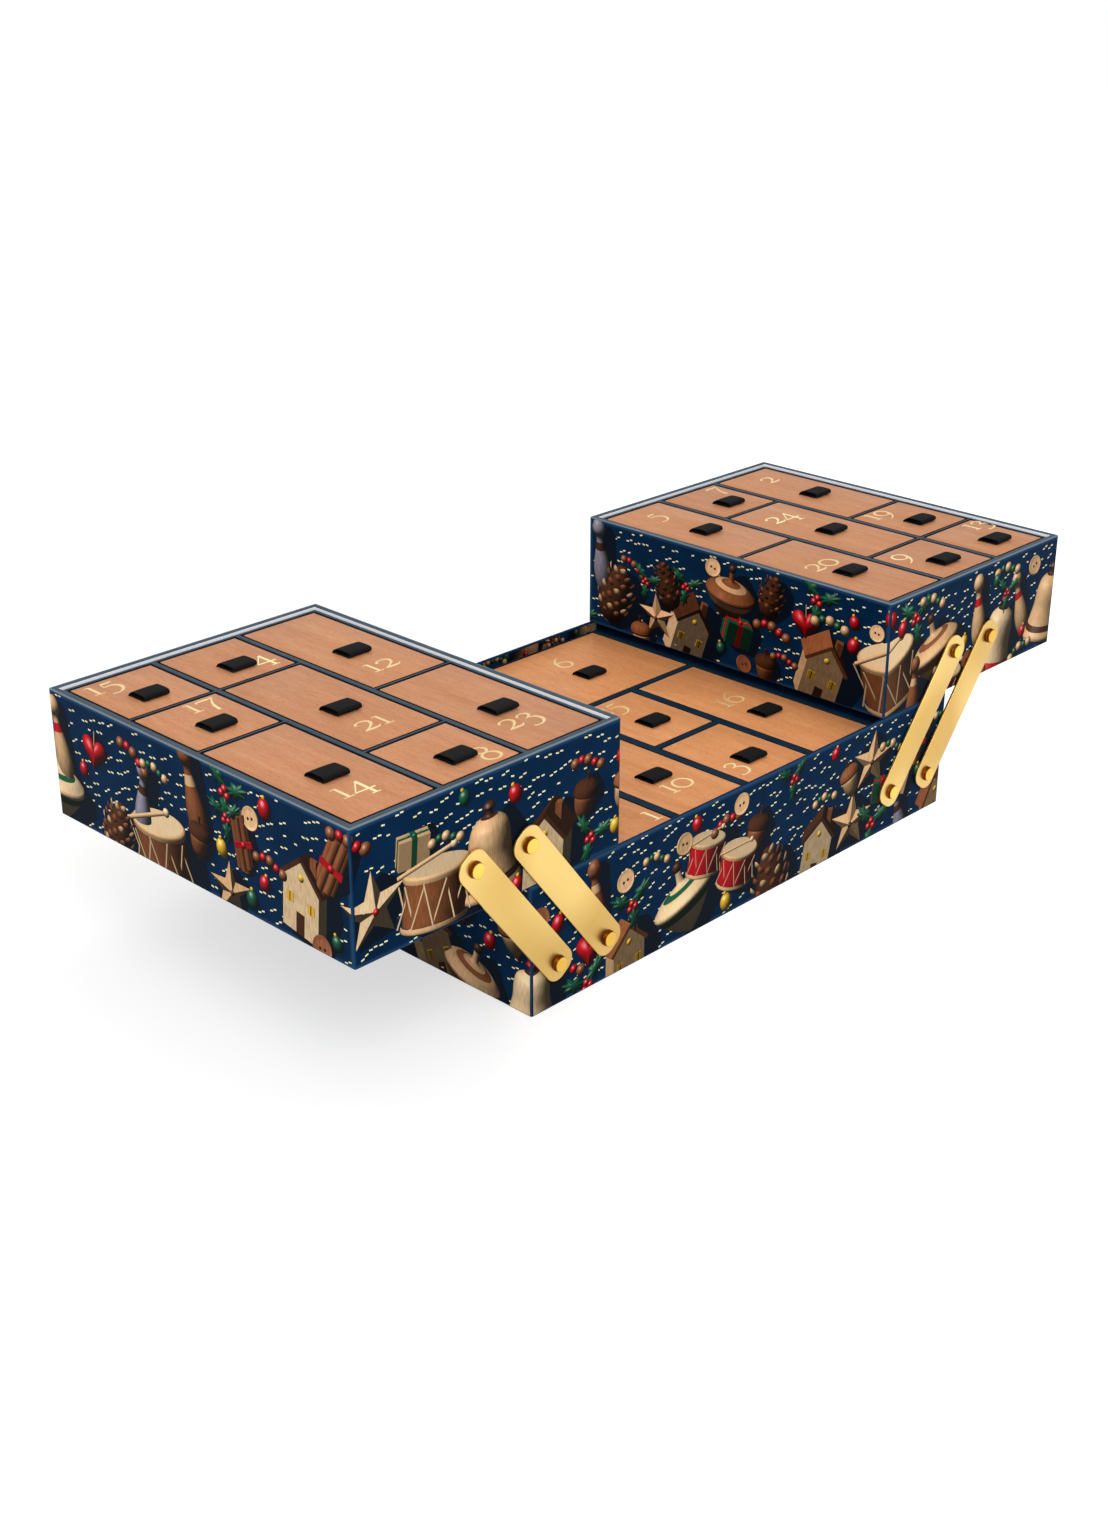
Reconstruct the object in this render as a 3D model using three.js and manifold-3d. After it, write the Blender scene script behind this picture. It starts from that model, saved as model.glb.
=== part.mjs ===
// Advent calendar in the form of a cantilever box: a long base with nine numbered compartments
// and two trays with eight each, which swing out sideways on pairs of parallel gold arms.
// Millimetres, +Z up, +X along the row of boxes, the origin at the centre of the base's underside.
// It is drawn open: both trays swung out, each resting on one end of the base, all lids closed.

import * as THREE from "three";
import { mergeVertices } from "three/addons/utils/BufferGeometryUtils.js";
import Module from "manifold-3d";

// The boxes
const BOX_WIDTH = 250;
const TRAY_LENGTH = 188;
const TRAY_HEIGHT = 75.5;
const TRAY_WALL = 4;
const TRAY_FLOOR = 3;
const BASE_HEIGHT = 78.5;
const BASE_WALL = 2.5;
const BASE_FLOOR = 3;
const CORNER_RADIUS = 1.2;
const MEETING_GAP = 0.6; // between the two trays when both are closed
const STACK_GAP = 0.3; // between a tray's underside and the base's rim

// The divider grids
const TRAY_STRIPS = 3;
const TRAY_UNITS = 4; // small compartments in one strip
const TRAY_GRID_DROP = 1.7; // from the tray's rim down to the grid
const TRAY_EDGE_BOARD = 3.2;
const TRAY_STRIP_BOARD = 4.4;
const TRAY_CROSS_BOARD = 2.6;
const BASE_STRIPS = 4;
const BASE_STRIP_PITCH = 61.4;
const BASE_GRID_DROP = 6.5; // leaves room under the trays for the ribbons
const BASE_EDGE_BOARD = 1.4;
const BASE_STRIP_BOARD = 5.4;
const BASE_CROSS_BOARD = 4;
const BASE_FRONT_CELL = 75.8;
const BASE_MIDDLE_CELL = 70.2;
const BASE_LONG_CELL = 119;
const LEDGE = 2.5; // the step round each compartment that carries its lid

// The lids and their ribbons
const LID_THICKNESS = 2.5;
const LID_SINK = 0.1; // from the grid's top down to the lid's top
const LID_CLEARANCE = 1;
const LID_CORNER_RADIUS = 0.6;
const RIBBON_WIDTH = 16.5;
const RIBBON_LENGTH = 14;
const RIBBON_RISE = 4.2;
const RIBBON_THICKNESS = 0.8;
const RIBBON_SHIFT = 9; // from the middle of the lid towards the front

// The arms and rivets
const TRAY_OVERLAP = 68; // how far an open tray rests on the base
const LOWER_PIVOT_DROP = 51.5; // below the base's rim
const UPPER_PIVOT_RISE = 26.5; // above the tray's underside
const OUTER_PIVOT_INSET = 18.5; // from the base's end
const ARM_SPACING = 38.5;
const ARM_WIDTH = 20.5;
const ARM_THICKNESS = 1.6;
const ARM_END = 9.5; // from a pivot to the arm's end
const ARM_CORNER_RADIUS = 8;
const RIVET_HEAD_DIAMETER = 9.5;
const RIVET_HEAD_HEIGHT = 2.5;
const RIVET_HEAD_CHAMFER = 0.6;
const RIVET_SHANK_DIAMETER = 5;
const RIVET_FLANGE_DIAMETER = 8.6;
const RIVET_FLANGE_THICKNESS = 0.8;

// Fits and facets
const FIT = 0.3; // clearance between pieces that touch on the real object
const CUT = 1; // how far a cutting solid runs past what it cuts
const ROUND_STEPS = 16; // facets round a rivet or a hole
const CORNER_STEPS = 3;

// Sizes that follow from the ones above
const BASE_LENGTH = 2 * TRAY_LENGTH + MEETING_GAP;
const TRAY_BOTTOM = BASE_HEIGHT + STACK_GAP;
const HALF_SWING = (TRAY_LENGTH - TRAY_OVERLAP) / 2;
const ARM_RISE = LOWER_PIVOT_DROP + STACK_GAP + UPPER_PIVOT_RISE;
const ARM_LENGTH = Math.hypot(HALF_SWING, ARM_RISE);
const ARM_LEAN = Math.atan2(HALF_SWING, ARM_RISE);
const LOWER_PIVOT_Z = BASE_HEIGHT - LOWER_PIVOT_DROP;
const TRAY_CENTRE = BASE_LENGTH / 2 - TRAY_OVERLAP + TRAY_LENGTH / 2;
const HOLE_DIAMETER = RIVET_SHANK_DIAMETER + 2 * FIT;
const ARM_FACE = FIT + ARM_THICKNESS; // from the box wall to the arm's outer face

// Colours
const printedPaper = new THREE.MeshStandardMaterial({ color: 0x0a2a4d, roughness: 0.5 });
const greyBlueBoard = new THREE.MeshStandardMaterial({ color: 0x4c6175, roughness: 0.6 });
const wood = new THREE.MeshStandardMaterial({ color: 0xd4966c, roughness: 0.55 });
const gold = new THREE.MeshStandardMaterial({ color: 0xddb05a, roughness: 0.25, metalness: 1 });

const wasm = await Module();
wasm.setup();

// Turns a closed three.js geometry into a solid that can be cut and joined.
function solidOf(geometry) {
  const bare = geometry.index ? geometry.toNonIndexed() : geometry.clone();
  bare.deleteAttribute("normal");
  bare.deleteAttribute("uv");
  const merged = mergeVertices(bare, 1e-4);
  const mesh = new wasm.Mesh({
    numProp: 3,
    vertProperties: merged.attributes.position.array,
    triVerts: new Uint32Array(merged.index.array),
  });
  return new wasm.Manifold(mesh);
}

// Turns a solid back into a named mesh.
function meshOf(solid, name, material) {
  const { vertProperties, triVerts } = solid.getMesh();
  const geometry = new THREE.BufferGeometry();
  geometry.setAttribute("position", new THREE.BufferAttribute(new Float32Array(vertProperties), 3));
  geometry.setIndex(new THREE.BufferAttribute(new Uint32Array(triVerts), 1));
  geometry.computeVertexNormals();
  const mesh = new THREE.Mesh(geometry, material);
  mesh.name = name;
  return mesh;
}

// A rectangle with round corners, centred on the origin.
function roundedRectangle(length, width, radius) {
  const r = Math.min(radius, length / 2 - 0.01, width / 2 - 0.01);
  const x = length / 2 - r;
  const y = width / 2 - r;
  const shape = new THREE.Shape();
  shape.absarc(x, y, r, 0, Math.PI / 2);
  shape.absarc(-x, y, r, Math.PI / 2, Math.PI);
  shape.absarc(-x, -y, r, Math.PI, 1.5 * Math.PI);
  shape.absarc(x, -y, r, 1.5 * Math.PI, 2 * Math.PI);
  return shape;
}

// A flat board standing on z = 0, with its vertical edges rounded.
function roundedBoard(length, width, height, radius) {
  const shape = roundedRectangle(length, width, radius);
  const options = { depth: height, bevelEnabled: false, curveSegments: CORNER_STEPS };
  return solidOf(new THREE.ExtrudeGeometry(shape, options));
}

// A plain block between two corners.
function block(low, high) {
  const size = high.map((value, axis) => value - low[axis]);
  const middle = high.map((value, axis) => (value + low[axis]) / 2);
  return solidOf(new THREE.BoxGeometry(...size).translate(...middle));
}

// A cylinder along Y from one y to another.
function crossCylinder(diameter, x, z, fromY, toY) {
  const length = Math.abs(toY - fromY);
  const geometry = new THREE.CylinderGeometry(diameter / 2, diameter / 2, length, ROUND_STEPS);
  return solidOf(geometry.translate(x, (fromY + toY) / 2, z));
}

// An open box standing on z = 0. Each pivot is a rivet hole through the front and the back wall,
// with a counterbore on the inside for the rivet's clenched flange.
function openBox({ length, height, wall, floor, pivots }) {
  let box = roundedBoard(length, BOX_WIDTH, height, CORNER_RADIUS);
  const insideLow = [wall - length / 2, wall - BOX_WIDTH / 2, floor];
  const insideHigh = [length / 2 - wall, BOX_WIDTH / 2 - wall, height + CUT];
  box = box.subtract(block(insideLow, insideHigh));
  const bore = RIVET_FLANGE_THICKNESS + FIT;
  for (const { x, z } of pivots) {
    for (const side of [-1, 1]) {
      const outer = side * (BOX_WIDTH / 2 + CUT);
      const inner = side * (BOX_WIDTH / 2 - wall - CUT);
      const shoulder = side * (BOX_WIDTH / 2 - wall + bore);
      box = box.subtract(crossCylinder(HOLE_DIAMETER, x, z, inner, outer));
      box = box.subtract(crossCylinder(RIVET_FLANGE_DIAMETER + 2 * FIT, x, z, inner, shoulder));
    }
  }
  return box;
}

// A divider grid standing on z = 0: a block with a stepped pocket through it for each cell.
// The upper step takes the lid and the lower one is narrower, which leaves the ledge.
function dividerGrid({ length, width, height, cells }) {
  let grid = block([-length / 2, -width / 2, 0], [length / 2, width / 2, height]);
  const ledgeTop = height - LID_SINK - LID_THICKNESS - FIT;
  for (const { low, high } of cells) {
    grid = grid.subtract(block([...low, ledgeTop], [...high, height + CUT]));
    const innerLow = low.map((value) => value + LEDGE);
    const innerHigh = high.map((value) => value - LEDGE);
    grid = grid.subtract(block([...innerLow, -CUT], [...innerHigh, height]));
  }
  return grid;
}

// The folded ribbon that a lid is lifted by: it leaves the lid as a flat band at the back,
// rises, and turns under itself in a round fold at the front.
function ribbonLoop() {
  const back = RIBBON_LENGTH / 2;
  const fold = RIBBON_RISE / 2;
  const sunk = LID_THICKNESS / 4;
  const shape = new THREE.Shape();
  shape.moveTo(back, -sunk);
  shape.lineTo(back, RIBBON_THICKNESS);
  shape.quadraticCurveTo(back / 2, RIBBON_RISE, fold - back, RIBBON_RISE);
  shape.absarc(fold - back, fold, fold, Math.PI / 2, 1.3 * Math.PI);
  shape.lineTo(fold - back, -sunk);
  const options = { depth: RIBBON_WIDTH, bevelEnabled: false, curveSegments: 4 };
  const geometry = new THREE.ExtrudeGeometry(shape, options);
  // The outline is drawn with Y to its right and Z up, so it is turned to run along X.
  const turn = new THREE.Matrix4().makeBasis(
    new THREE.Vector3(0, 1, 0),
    new THREE.Vector3(0, 0, 1),
    new THREE.Vector3(1, 0, 0),
  );
  return solidOf(geometry.applyMatrix4(turn).translate(-RIBBON_WIDTH / 2, 0, 0));
}

// A lid with its ribbon, the lid's underside on z = 0.
function lidWithRibbon(length, width) {
  const board = roundedBoard(length, width, LID_THICKNESS, LID_CORNER_RADIUS);
  return board.add(ribbonLoop().translate(0, -RIBBON_SHIFT, LID_THICKNESS));
}

// An arm with its lower pivot at the origin, its upper one straight above, its back face on y = 0.
function armSolid() {
  const shape = roundedRectangle(ARM_WIDTH, ARM_LENGTH + 2 * ARM_END, ARM_CORNER_RADIUS);
  const options = { depth: ARM_THICKNESS, bevelEnabled: false, curveSegments: 5 };
  const geometry = new THREE.ExtrudeGeometry(shape, options);
  let arm = solidOf(geometry.rotateX(Math.PI / 2).translate(0, 0, ARM_LENGTH / 2));
  for (const z of [0, ARM_LENGTH]) {
    arm = arm.subtract(crossCylinder(HOLE_DIAMETER, 0, z, -ARM_THICKNESS - CUT, CUT));
  }
  return arm;
}

// A rivet along Y: y = 0 is the box wall's outer face, and the head points to +Y.
function rivetSolid(wall) {
  const seat = ARM_FACE + FIT;
  const head = RIVET_HEAD_DIAMETER / 2;
  const shank = RIVET_SHANK_DIAMETER / 2;
  const flange = RIVET_FLANGE_DIAMETER / 2;
  const top = seat + RIVET_HEAD_HEIGHT;
  const profile = [
    new THREE.Vector2(0, -wall),
    new THREE.Vector2(flange, -wall),
    new THREE.Vector2(flange, RIVET_FLANGE_THICKNESS - wall),
    new THREE.Vector2(shank, RIVET_FLANGE_THICKNESS - wall),
    new THREE.Vector2(shank, seat),
    new THREE.Vector2(head, seat),
    new THREE.Vector2(head, top - RIVET_HEAD_CHAMFER),
    new THREE.Vector2(head - RIVET_HEAD_CHAMFER, top),
    new THREE.Vector2(0, top),
  ];
  return solidOf(new THREE.LatheGeometry(profile, ROUND_STEPS));
}

// The cells of a tray's grid, in the tray's own frame. Each strip lists its doors from the back
// to the front, a large door taking two units and a small one taking one.
function trayCells(strips, length, width) {
  const stripRoom = length - 2 * TRAY_EDGE_BOARD - (TRAY_STRIPS - 1) * TRAY_STRIP_BOARD;
  const unitRoom = width - 2 * TRAY_EDGE_BOARD - (TRAY_UNITS - 1) * TRAY_CROSS_BOARD;
  const stripSize = stripRoom / TRAY_STRIPS;
  const unitSize = unitRoom / TRAY_UNITS;
  const cells = [];
  strips.forEach((doors, strip) => {
    const left = TRAY_EDGE_BOARD - length / 2 + strip * (stripSize + TRAY_STRIP_BOARD);
    let back = width / 2 - TRAY_EDGE_BOARD;
    for (const { door, units } of doors) {
      const size = units * unitSize + (units - 1) * TRAY_CROSS_BOARD;
      cells.push({ door, low: [left, back - size], high: [left + stripSize, back] });
      back -= size + TRAY_CROSS_BOARD;
    }
  });
  return cells;
}

// The cells of the base's grid. Its four strips lie between the open trays, and an end cell
// without a door lies beyond them at each end.
function baseCells(length, width) {
  const front = BASE_EDGE_BOARD - width / 2;
  const back = width / 2 - BASE_EDGE_BOARD;
  const stripLeft = (strip) => (strip - BASE_STRIPS / 2) * BASE_STRIP_PITCH + BASE_STRIP_BOARD / 2;
  const stripRight = (strip) => stripLeft(strip + 1) - BASE_STRIP_BOARD;
  const cell = (door, firstStrip, lastStrip, from, to) => ({
    door,
    low: [stripLeft(firstStrip), from],
    high: [stripRight(lastStrip), to],
  });
  const middleFrom = front + BASE_FRONT_CELL + BASE_CROSS_BOARD;
  const backFrom = middleFrom + BASE_MIDDLE_CELL + BASE_CROSS_BOARD;
  const longTo = front + BASE_LONG_CELL;
  const farFrom = longTo + BASE_CROSS_BOARD;
  const farMiddle = (farFrom + back) / 2;
  const doors = [
    cell(1, 0, 0, front, longTo),
    cell(18, 0, 0, farFrom, farMiddle - BASE_CROSS_BOARD / 2),
    cell(11, 0, 0, farMiddle + BASE_CROSS_BOARD / 2, back),
    cell(10, 1, 1, front, longTo),
    cell(22, 1, 1, farFrom, back),
    cell(3, 2, 2, front, front + BASE_FRONT_CELL),
    cell(25, 2, 2, middleFrom, middleFrom + BASE_MIDDLE_CELL),
    cell(16, 3, 3, front, middleFrom + BASE_MIDDLE_CELL),
    cell(6, 2, 3, backFrom, back),
  ];
  const endLow = BASE_EDGE_BOARD - length / 2;
  const endHigh = stripLeft(0) - BASE_STRIP_BOARD;
  const decks = [
    { name: "base_end_deck_left", low: [endLow, front], high: [endHigh, back] },
    { name: "base_end_deck_right", low: [-endHigh, front], high: [-endLow, back] },
  ];
  return { doors, decks };
}

// The doors of the trays, strip by strip from the left, each strip from the back to the front.
const small = (door) => ({ door, units: 1 });
const large = (door) => ({ door, units: 2 });
const LEFT_DOORS = [
  [small(15), small(17), large(14)],
  [small(4), large(21), small(8)],
  [large(12), large(23)],
];
const RIGHT_DOORS = [
  [large(5), large(20)],
  [small(7), large(24), small(9)],
  [large(2), small(19), small(13)],
];

// Where the arms' pivots lie, for the left side (-1) and the right side (1), outer arm first.
function lowerPivots(side) {
  const outer = BASE_LENGTH / 2 - OUTER_PIVOT_INSET;
  return [side * outer, side * (outer - ARM_SPACING)];
}

const model = new THREE.Group();

// Adds a lid over each cell: all lids hang at the same height in the given group.
function addLids(group, cells, gridTop) {
  for (const { door, low, high } of cells) {
    const length = high[0] - low[0] - 2 * LID_CLEARANCE;
    const width = high[1] - low[1] - 2 * LID_CLEARANCE;
    const lid = meshOf(lidWithRibbon(length, width), `lid_${door}`, wood);
    const middle = [(low[0] + high[0]) / 2, (low[1] + high[1]) / 2];
    lid.position.set(...middle, gridTop - LID_SINK - LID_THICKNESS);
    group.add(lid);
  }
}

// The base with its grid, its end decks and its lids
function addBase() {
  const group = new THREE.Group();
  const pivots = [...lowerPivots(-1), ...lowerPivots(1)].map((x) => ({ x, z: LOWER_PIVOT_Z }));
  const box = openBox({
    length: BASE_LENGTH,
    height: BASE_HEIGHT,
    wall: BASE_WALL,
    floor: BASE_FLOOR,
    pivots,
  });
  group.add(meshOf(box, "base_box", printedPaper));
  const length = BASE_LENGTH - 2 * (BASE_WALL + FIT);
  const width = BOX_WIDTH - 2 * (BASE_WALL + FIT);
  const gridTop = BASE_HEIGHT - BASE_GRID_DROP;
  const foot = BASE_FLOOR + FIT;
  const { doors, decks } = baseCells(length, width);
  const grid = dividerGrid({ length, width, height: gridTop - foot, cells: [...doors, ...decks] });
  const gridMesh = meshOf(grid, "base_grid", greyBlueBoard);
  gridMesh.position.z = foot;
  group.add(gridMesh);
  for (const { name, low, high } of decks) {
    const deckLength = high[0] - low[0] - 2 * FIT;
    const deckWidth = high[1] - low[1] - 2 * FIT;
    const board = roundedBoard(deckLength, deckWidth, LID_THICKNESS, LID_CORNER_RADIUS);
    const deck = meshOf(board, name, printedPaper);
    const middle = [(low[0] + high[0]) / 2, (low[1] + high[1]) / 2];
    deck.position.set(...middle, gridTop - LID_SINK - LID_THICKNESS);
    group.add(deck);
  }
  addLids(group, doors, gridTop);
  model.add(group);
}

// A tray with its grid and its lids, in a group that stands where the open tray does
function addTray(name, side, strips) {
  const group = new THREE.Group();
  group.position.set(side * TRAY_CENTRE, 0, TRAY_BOTTOM);
  const pivots = lowerPivots(side).map((x) => ({
    x: x + side * (HALF_SWING - TRAY_CENTRE),
    z: UPPER_PIVOT_RISE,
  }));
  const box = openBox({
    length: TRAY_LENGTH,
    height: TRAY_HEIGHT,
    wall: TRAY_WALL,
    floor: TRAY_FLOOR,
    pivots,
  });
  group.add(meshOf(box, `${name}_tray_box`, printedPaper));
  const length = TRAY_LENGTH - 2 * (TRAY_WALL + FIT);
  const width = BOX_WIDTH - 2 * (TRAY_WALL + FIT);
  const gridTop = TRAY_HEIGHT - TRAY_GRID_DROP;
  const foot = TRAY_FLOOR + FIT;
  const cells = trayCells(strips, length, width);
  const grid = dividerGrid({ length, width, height: gridTop - foot, cells });
  const gridMesh = meshOf(grid, `${name}_tray_grid`, greyBlueBoard);
  gridMesh.position.z = foot;
  group.add(gridMesh);
  addLids(group, cells, gridTop);
  model.add(group);
}

// The arms and rivets of one tray: an outer and an inner arm on the front and on the back face
function addArms(name, side) {
  const facings = [
    { face: "front", out: -1 },
    { face: "back", out: 1 },
  ];
  const places = ["outer", "inner"];
  lowerPivots(side).forEach((x, index) => {
    for (const { face, out } of facings) {
      const label = `${name}_${face}_${places[index]}`;
      const arm = meshOf(armSolid(), `${label}_arm`, gold);
      const backFace = out > 0 ? BOX_WIDTH / 2 + ARM_FACE : -(BOX_WIDTH / 2 + FIT);
      arm.position.set(x, backFace, LOWER_PIVOT_Z);
      arm.rotation.y = side * ARM_LEAN;
      model.add(arm);
      const ends = [
        { end: "lower", wall: BASE_WALL, at: [x, LOWER_PIVOT_Z] },
        { end: "upper", wall: TRAY_WALL, at: [x + side * HALF_SWING, LOWER_PIVOT_Z + ARM_RISE] },
      ];
      for (const { end, wall, at } of ends) {
        const rivet = meshOf(rivetSolid(wall), `${label}_${end}_rivet`, gold);
        rivet.position.set(at[0], (out * BOX_WIDTH) / 2, at[1]);
        rivet.rotation.z = out > 0 ? 0 : Math.PI;
        model.add(rivet);
      }
    }
  });
}

addBase();
addTray("left", -1, LEFT_DOORS);
addTray("right", 1, RIGHT_DOORS);
addArms("left", -1);
addArms("right", 1);

export default model;
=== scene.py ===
# %% [markdown]
# # A fragrance advent calendar that opens like a sewing box
#
# The real thing is three boxes of wrapped greyboard. Two trays stand on a long base, and pairs of gold arms
# let them swing out sideways. Each box holds a grid of dividers, and every compartment has a small wooden lid
# with a gold number and a black ribbon to lift it by. The CAD model already has every size, pivot and place.
# This script dresses it: it reads the boxes of the CAD nodes and makes finer pieces that keep to them.

import math
import random

import bmesh
import bpy
import numpy as np
from mathutils import Matrix, Vector
from mathutils.geometry import convex_hull_2d


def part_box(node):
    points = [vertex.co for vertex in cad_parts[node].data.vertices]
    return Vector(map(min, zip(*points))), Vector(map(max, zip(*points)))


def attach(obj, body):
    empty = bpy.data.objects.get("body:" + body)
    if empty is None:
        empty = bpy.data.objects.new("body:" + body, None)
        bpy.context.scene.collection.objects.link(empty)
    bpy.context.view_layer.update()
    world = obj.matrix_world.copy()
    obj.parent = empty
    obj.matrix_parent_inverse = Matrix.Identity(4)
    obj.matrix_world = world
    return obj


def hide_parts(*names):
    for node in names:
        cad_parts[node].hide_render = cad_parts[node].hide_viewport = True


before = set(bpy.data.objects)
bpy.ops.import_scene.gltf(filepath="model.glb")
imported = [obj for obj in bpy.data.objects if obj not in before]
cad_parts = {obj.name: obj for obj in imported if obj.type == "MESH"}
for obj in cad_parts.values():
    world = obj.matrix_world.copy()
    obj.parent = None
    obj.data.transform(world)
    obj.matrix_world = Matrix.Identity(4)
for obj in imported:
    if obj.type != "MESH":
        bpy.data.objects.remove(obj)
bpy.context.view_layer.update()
MM = 0.001

# %% [markdown]
# ## The camera
#
# The view came from the corners of the boxes: the seventeen that can be read in the photograph fix the
# camera's place, its direction and its focal length. A camera in Blender looks down its own -Z with +Y up,
# so its matrix is built from three directions: right, up and backwards. The look is steered by two angles,
# one round the vertical and one below the horizon, which are easier to read than a matrix.

# %% Camera
PHOTO_WIDTH = 1108
PHOTO_HEIGHT = 1528
FOCAL_PIXELS = 2048.3
SENSOR = 36.0
CAMERA_PLACE = Vector((-0.8550, -0.7891, 0.5755))
LOOK_ROUND = 0.7709
LOOK_DOWN = 0.4255
ROLL = 0.0007

forward = Vector((math.cos(LOOK_DOWN) * math.cos(LOOK_ROUND),
                  math.cos(LOOK_DOWN) * math.sin(LOOK_ROUND),
                  -math.sin(LOOK_DOWN)))
level_right = forward.cross(Vector((0, 0, 1))).normalized()
level_up = level_right.cross(forward)
right = level_right * math.cos(ROLL) + level_up * math.sin(ROLL)
up = level_up * math.cos(ROLL) - level_right * math.sin(ROLL)

camera_data = bpy.data.cameras.new("photo_camera")
camera_data.sensor_width = SENSOR
camera_data.lens = FOCAL_PIXELS * SENSOR / max(PHOTO_WIDTH, PHOTO_HEIGHT)
camera_data.clip_start = 0.05
camera = bpy.data.objects.new("photo_camera", camera_data)
bpy.context.scene.collection.objects.link(camera)
turn = Matrix((right, up, -forward)).transposed()
camera.matrix_world = Matrix.Translation(CAMERA_PLACE) @ turn.to_4x4()
bpy.context.scene.camera = camera
print("camera lens", round(camera_data.lens, 2), "mm")

# %% [markdown]
# ## Helpers for materials
#
# Every colour below is written as people read it from a screen, in sRGB hex, and one function turns it to the
# linear values that the renderer works in. A material is a small tree of nodes, so one helper adds a node,
# sets what it is told to, and makes the links: a socket given as a value is linked, anything else is typed
# in.

# %% Colour and node helpers
def linear(code, alpha=1.0):
    """The linear colour of an sRGB hex code."""
    parts = [int(code[i:i + 2], 16) / 255 for i in (1, 3, 5)]
    return tuple(c / 12.92 if c <= 0.04045 else ((c + 0.055) / 1.055) ** 2.4 for c in parts) + (alpha,)


def add(tree, kind, inputs=None, **settings):
    """Adds a node. Settings go on the node itself; inputs are values to type in or sockets to link from."""
    node = tree.nodes.new(kind)
    for name, value in settings.items():
        setattr(node, name, value)
    for name, value in (inputs or {}).items():
        if isinstance(value, bpy.types.NodeSocket):
            tree.links.new(value, node.inputs[name])
        else:
            node.inputs[name].default_value = value
    return node


def new_material(name, **values):
    """An empty material with a Principled shader, whose fixed values are typed into its own sockets."""
    material = bpy.data.materials.new(name)
    material.use_nodes = True
    tree = material.node_tree
    tree.nodes.clear()
    shader = add(tree, "ShaderNodeBsdfPrincipled", {k.replace("_", " "): v for k, v in values.items()})
    add(tree, "ShaderNodeOutputMaterial", {"Surface": shader.outputs[0]})
    return material, tree, shader


def link(tree, source, shader, socket):
    """Links one output to one input of the shader."""
    tree.links.new(source, shader.inputs[socket])


def object_noise(tree, size_mm, detail=2.0, offset=0.0, rough=0.5):
    """Noise on object coordinates, whose features are size_mm = (x, y, z) millimetres across."""
    place = add(tree, "ShaderNodeTexCoord")
    scale = add(tree, "ShaderNodeMapping",
                {"Vector": place.outputs["Object"], "Scale": tuple(1 / (s * MM) for s in size_mm),
                 "Location": (offset, offset, offset)})
    noise = add(tree, "ShaderNodeTexNoise",
                {"Vector": scale.outputs[0], "Scale": 1.0, "Detail": detail, "Roughness": rough})
    return noise.outputs["Fac"]


def ramp(tree, value, *stops):
    """A colour ramp over (position, hex) stops."""
    node = add(tree, "ShaderNodeValToRGB", {"Fac": value})
    elements = node.color_ramp.elements
    while len(elements) < len(stops):
        elements.new(0.5)
    for element, (position, code) in zip(elements, stops):
        element.position = position
        element.color = linear(code)
    return node.outputs["Color"]


def level(tree, value, low, high, to_low, to_high):
    """Stretches a value from one range to another, and holds it inside."""
    node = add(tree, "ShaderNodeMapRange",
               {"Value": value, "From Min": low, "From Max": high, "To Min": to_low, "To Max": to_high})
    return node.outputs["Result"]


def blend_colours(tree, mode, amount, first, second):
    """Mixes two colours. A colour is a socket or a hex code."""
    node = add(tree, "ShaderNodeMix", data_type="RGBA", blend_type=mode)
    for socket, value in ((0, amount), (6, first), (7, second)):
        if isinstance(value, bpy.types.NodeSocket):
            tree.links.new(value, node.inputs[socket])
        else:
            node.inputs[socket].default_value = linear(value) if isinstance(value, str) else value
    return node.outputs[2]


def attribute(tree, name, output="Fac"):
    """Reads one of the mesh's own attributes."""
    return add(tree, "ShaderNodeAttribute", attribute_name=name).outputs[output]


def bump(tree, height, strength, depth_mm):
    """A bump whose highest point stands depth_mm over its lowest."""
    node = add(tree, "ShaderNodeBump", {"Height": height, "Strength": strength, "Distance": depth_mm * MM})
    return node.outputs["Normal"]


print("helpers ready")

# %% [markdown]
# ## The studio
#
# The photograph is a catalogue cut-out: a white ground with one soft grey shadow, which lies to the left.
# Three soft lamps give it: a large one high up on the camera's side, a small one on its left that fills the
# walls, and a wide one above for the lids. The floor also glows a little, more toward its right and its far
# ends, so that it stays white there. The white behind comes from the world. Rays that the camera or a mirror
# sends meet all of it, and rays that light the object meet a dimmer one, which doesn't wash the navy out.

# %% Floor, world and lamps
scene = bpy.context.scene
scene.view_settings.view_transform = "Standard"

FLOOR_SIZE = 8.0
FLOOR_GLOW = 0.60
WHITE_FROM, WHITE_BY = 0.55, 1.0
TO_THE_RIGHT = (0.69, -0.72, 0.0)
RIGHT_GLOW = 0.88
WORLD_LIGHT = 0.62
floor_mesh = bpy.data.meshes.new("floor")
half_floor = FLOOR_SIZE / 2
floor_mesh.from_pydata([(-half_floor, -half_floor, 0), (half_floor, -half_floor, 0),
                        (half_floor, half_floor, 0), (-half_floor, half_floor, 0)], [], [(0, 1, 2, 3)])
floor = bpy.data.objects.new("floor", floor_mesh)
scene.collection.objects.link(floor)

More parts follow.
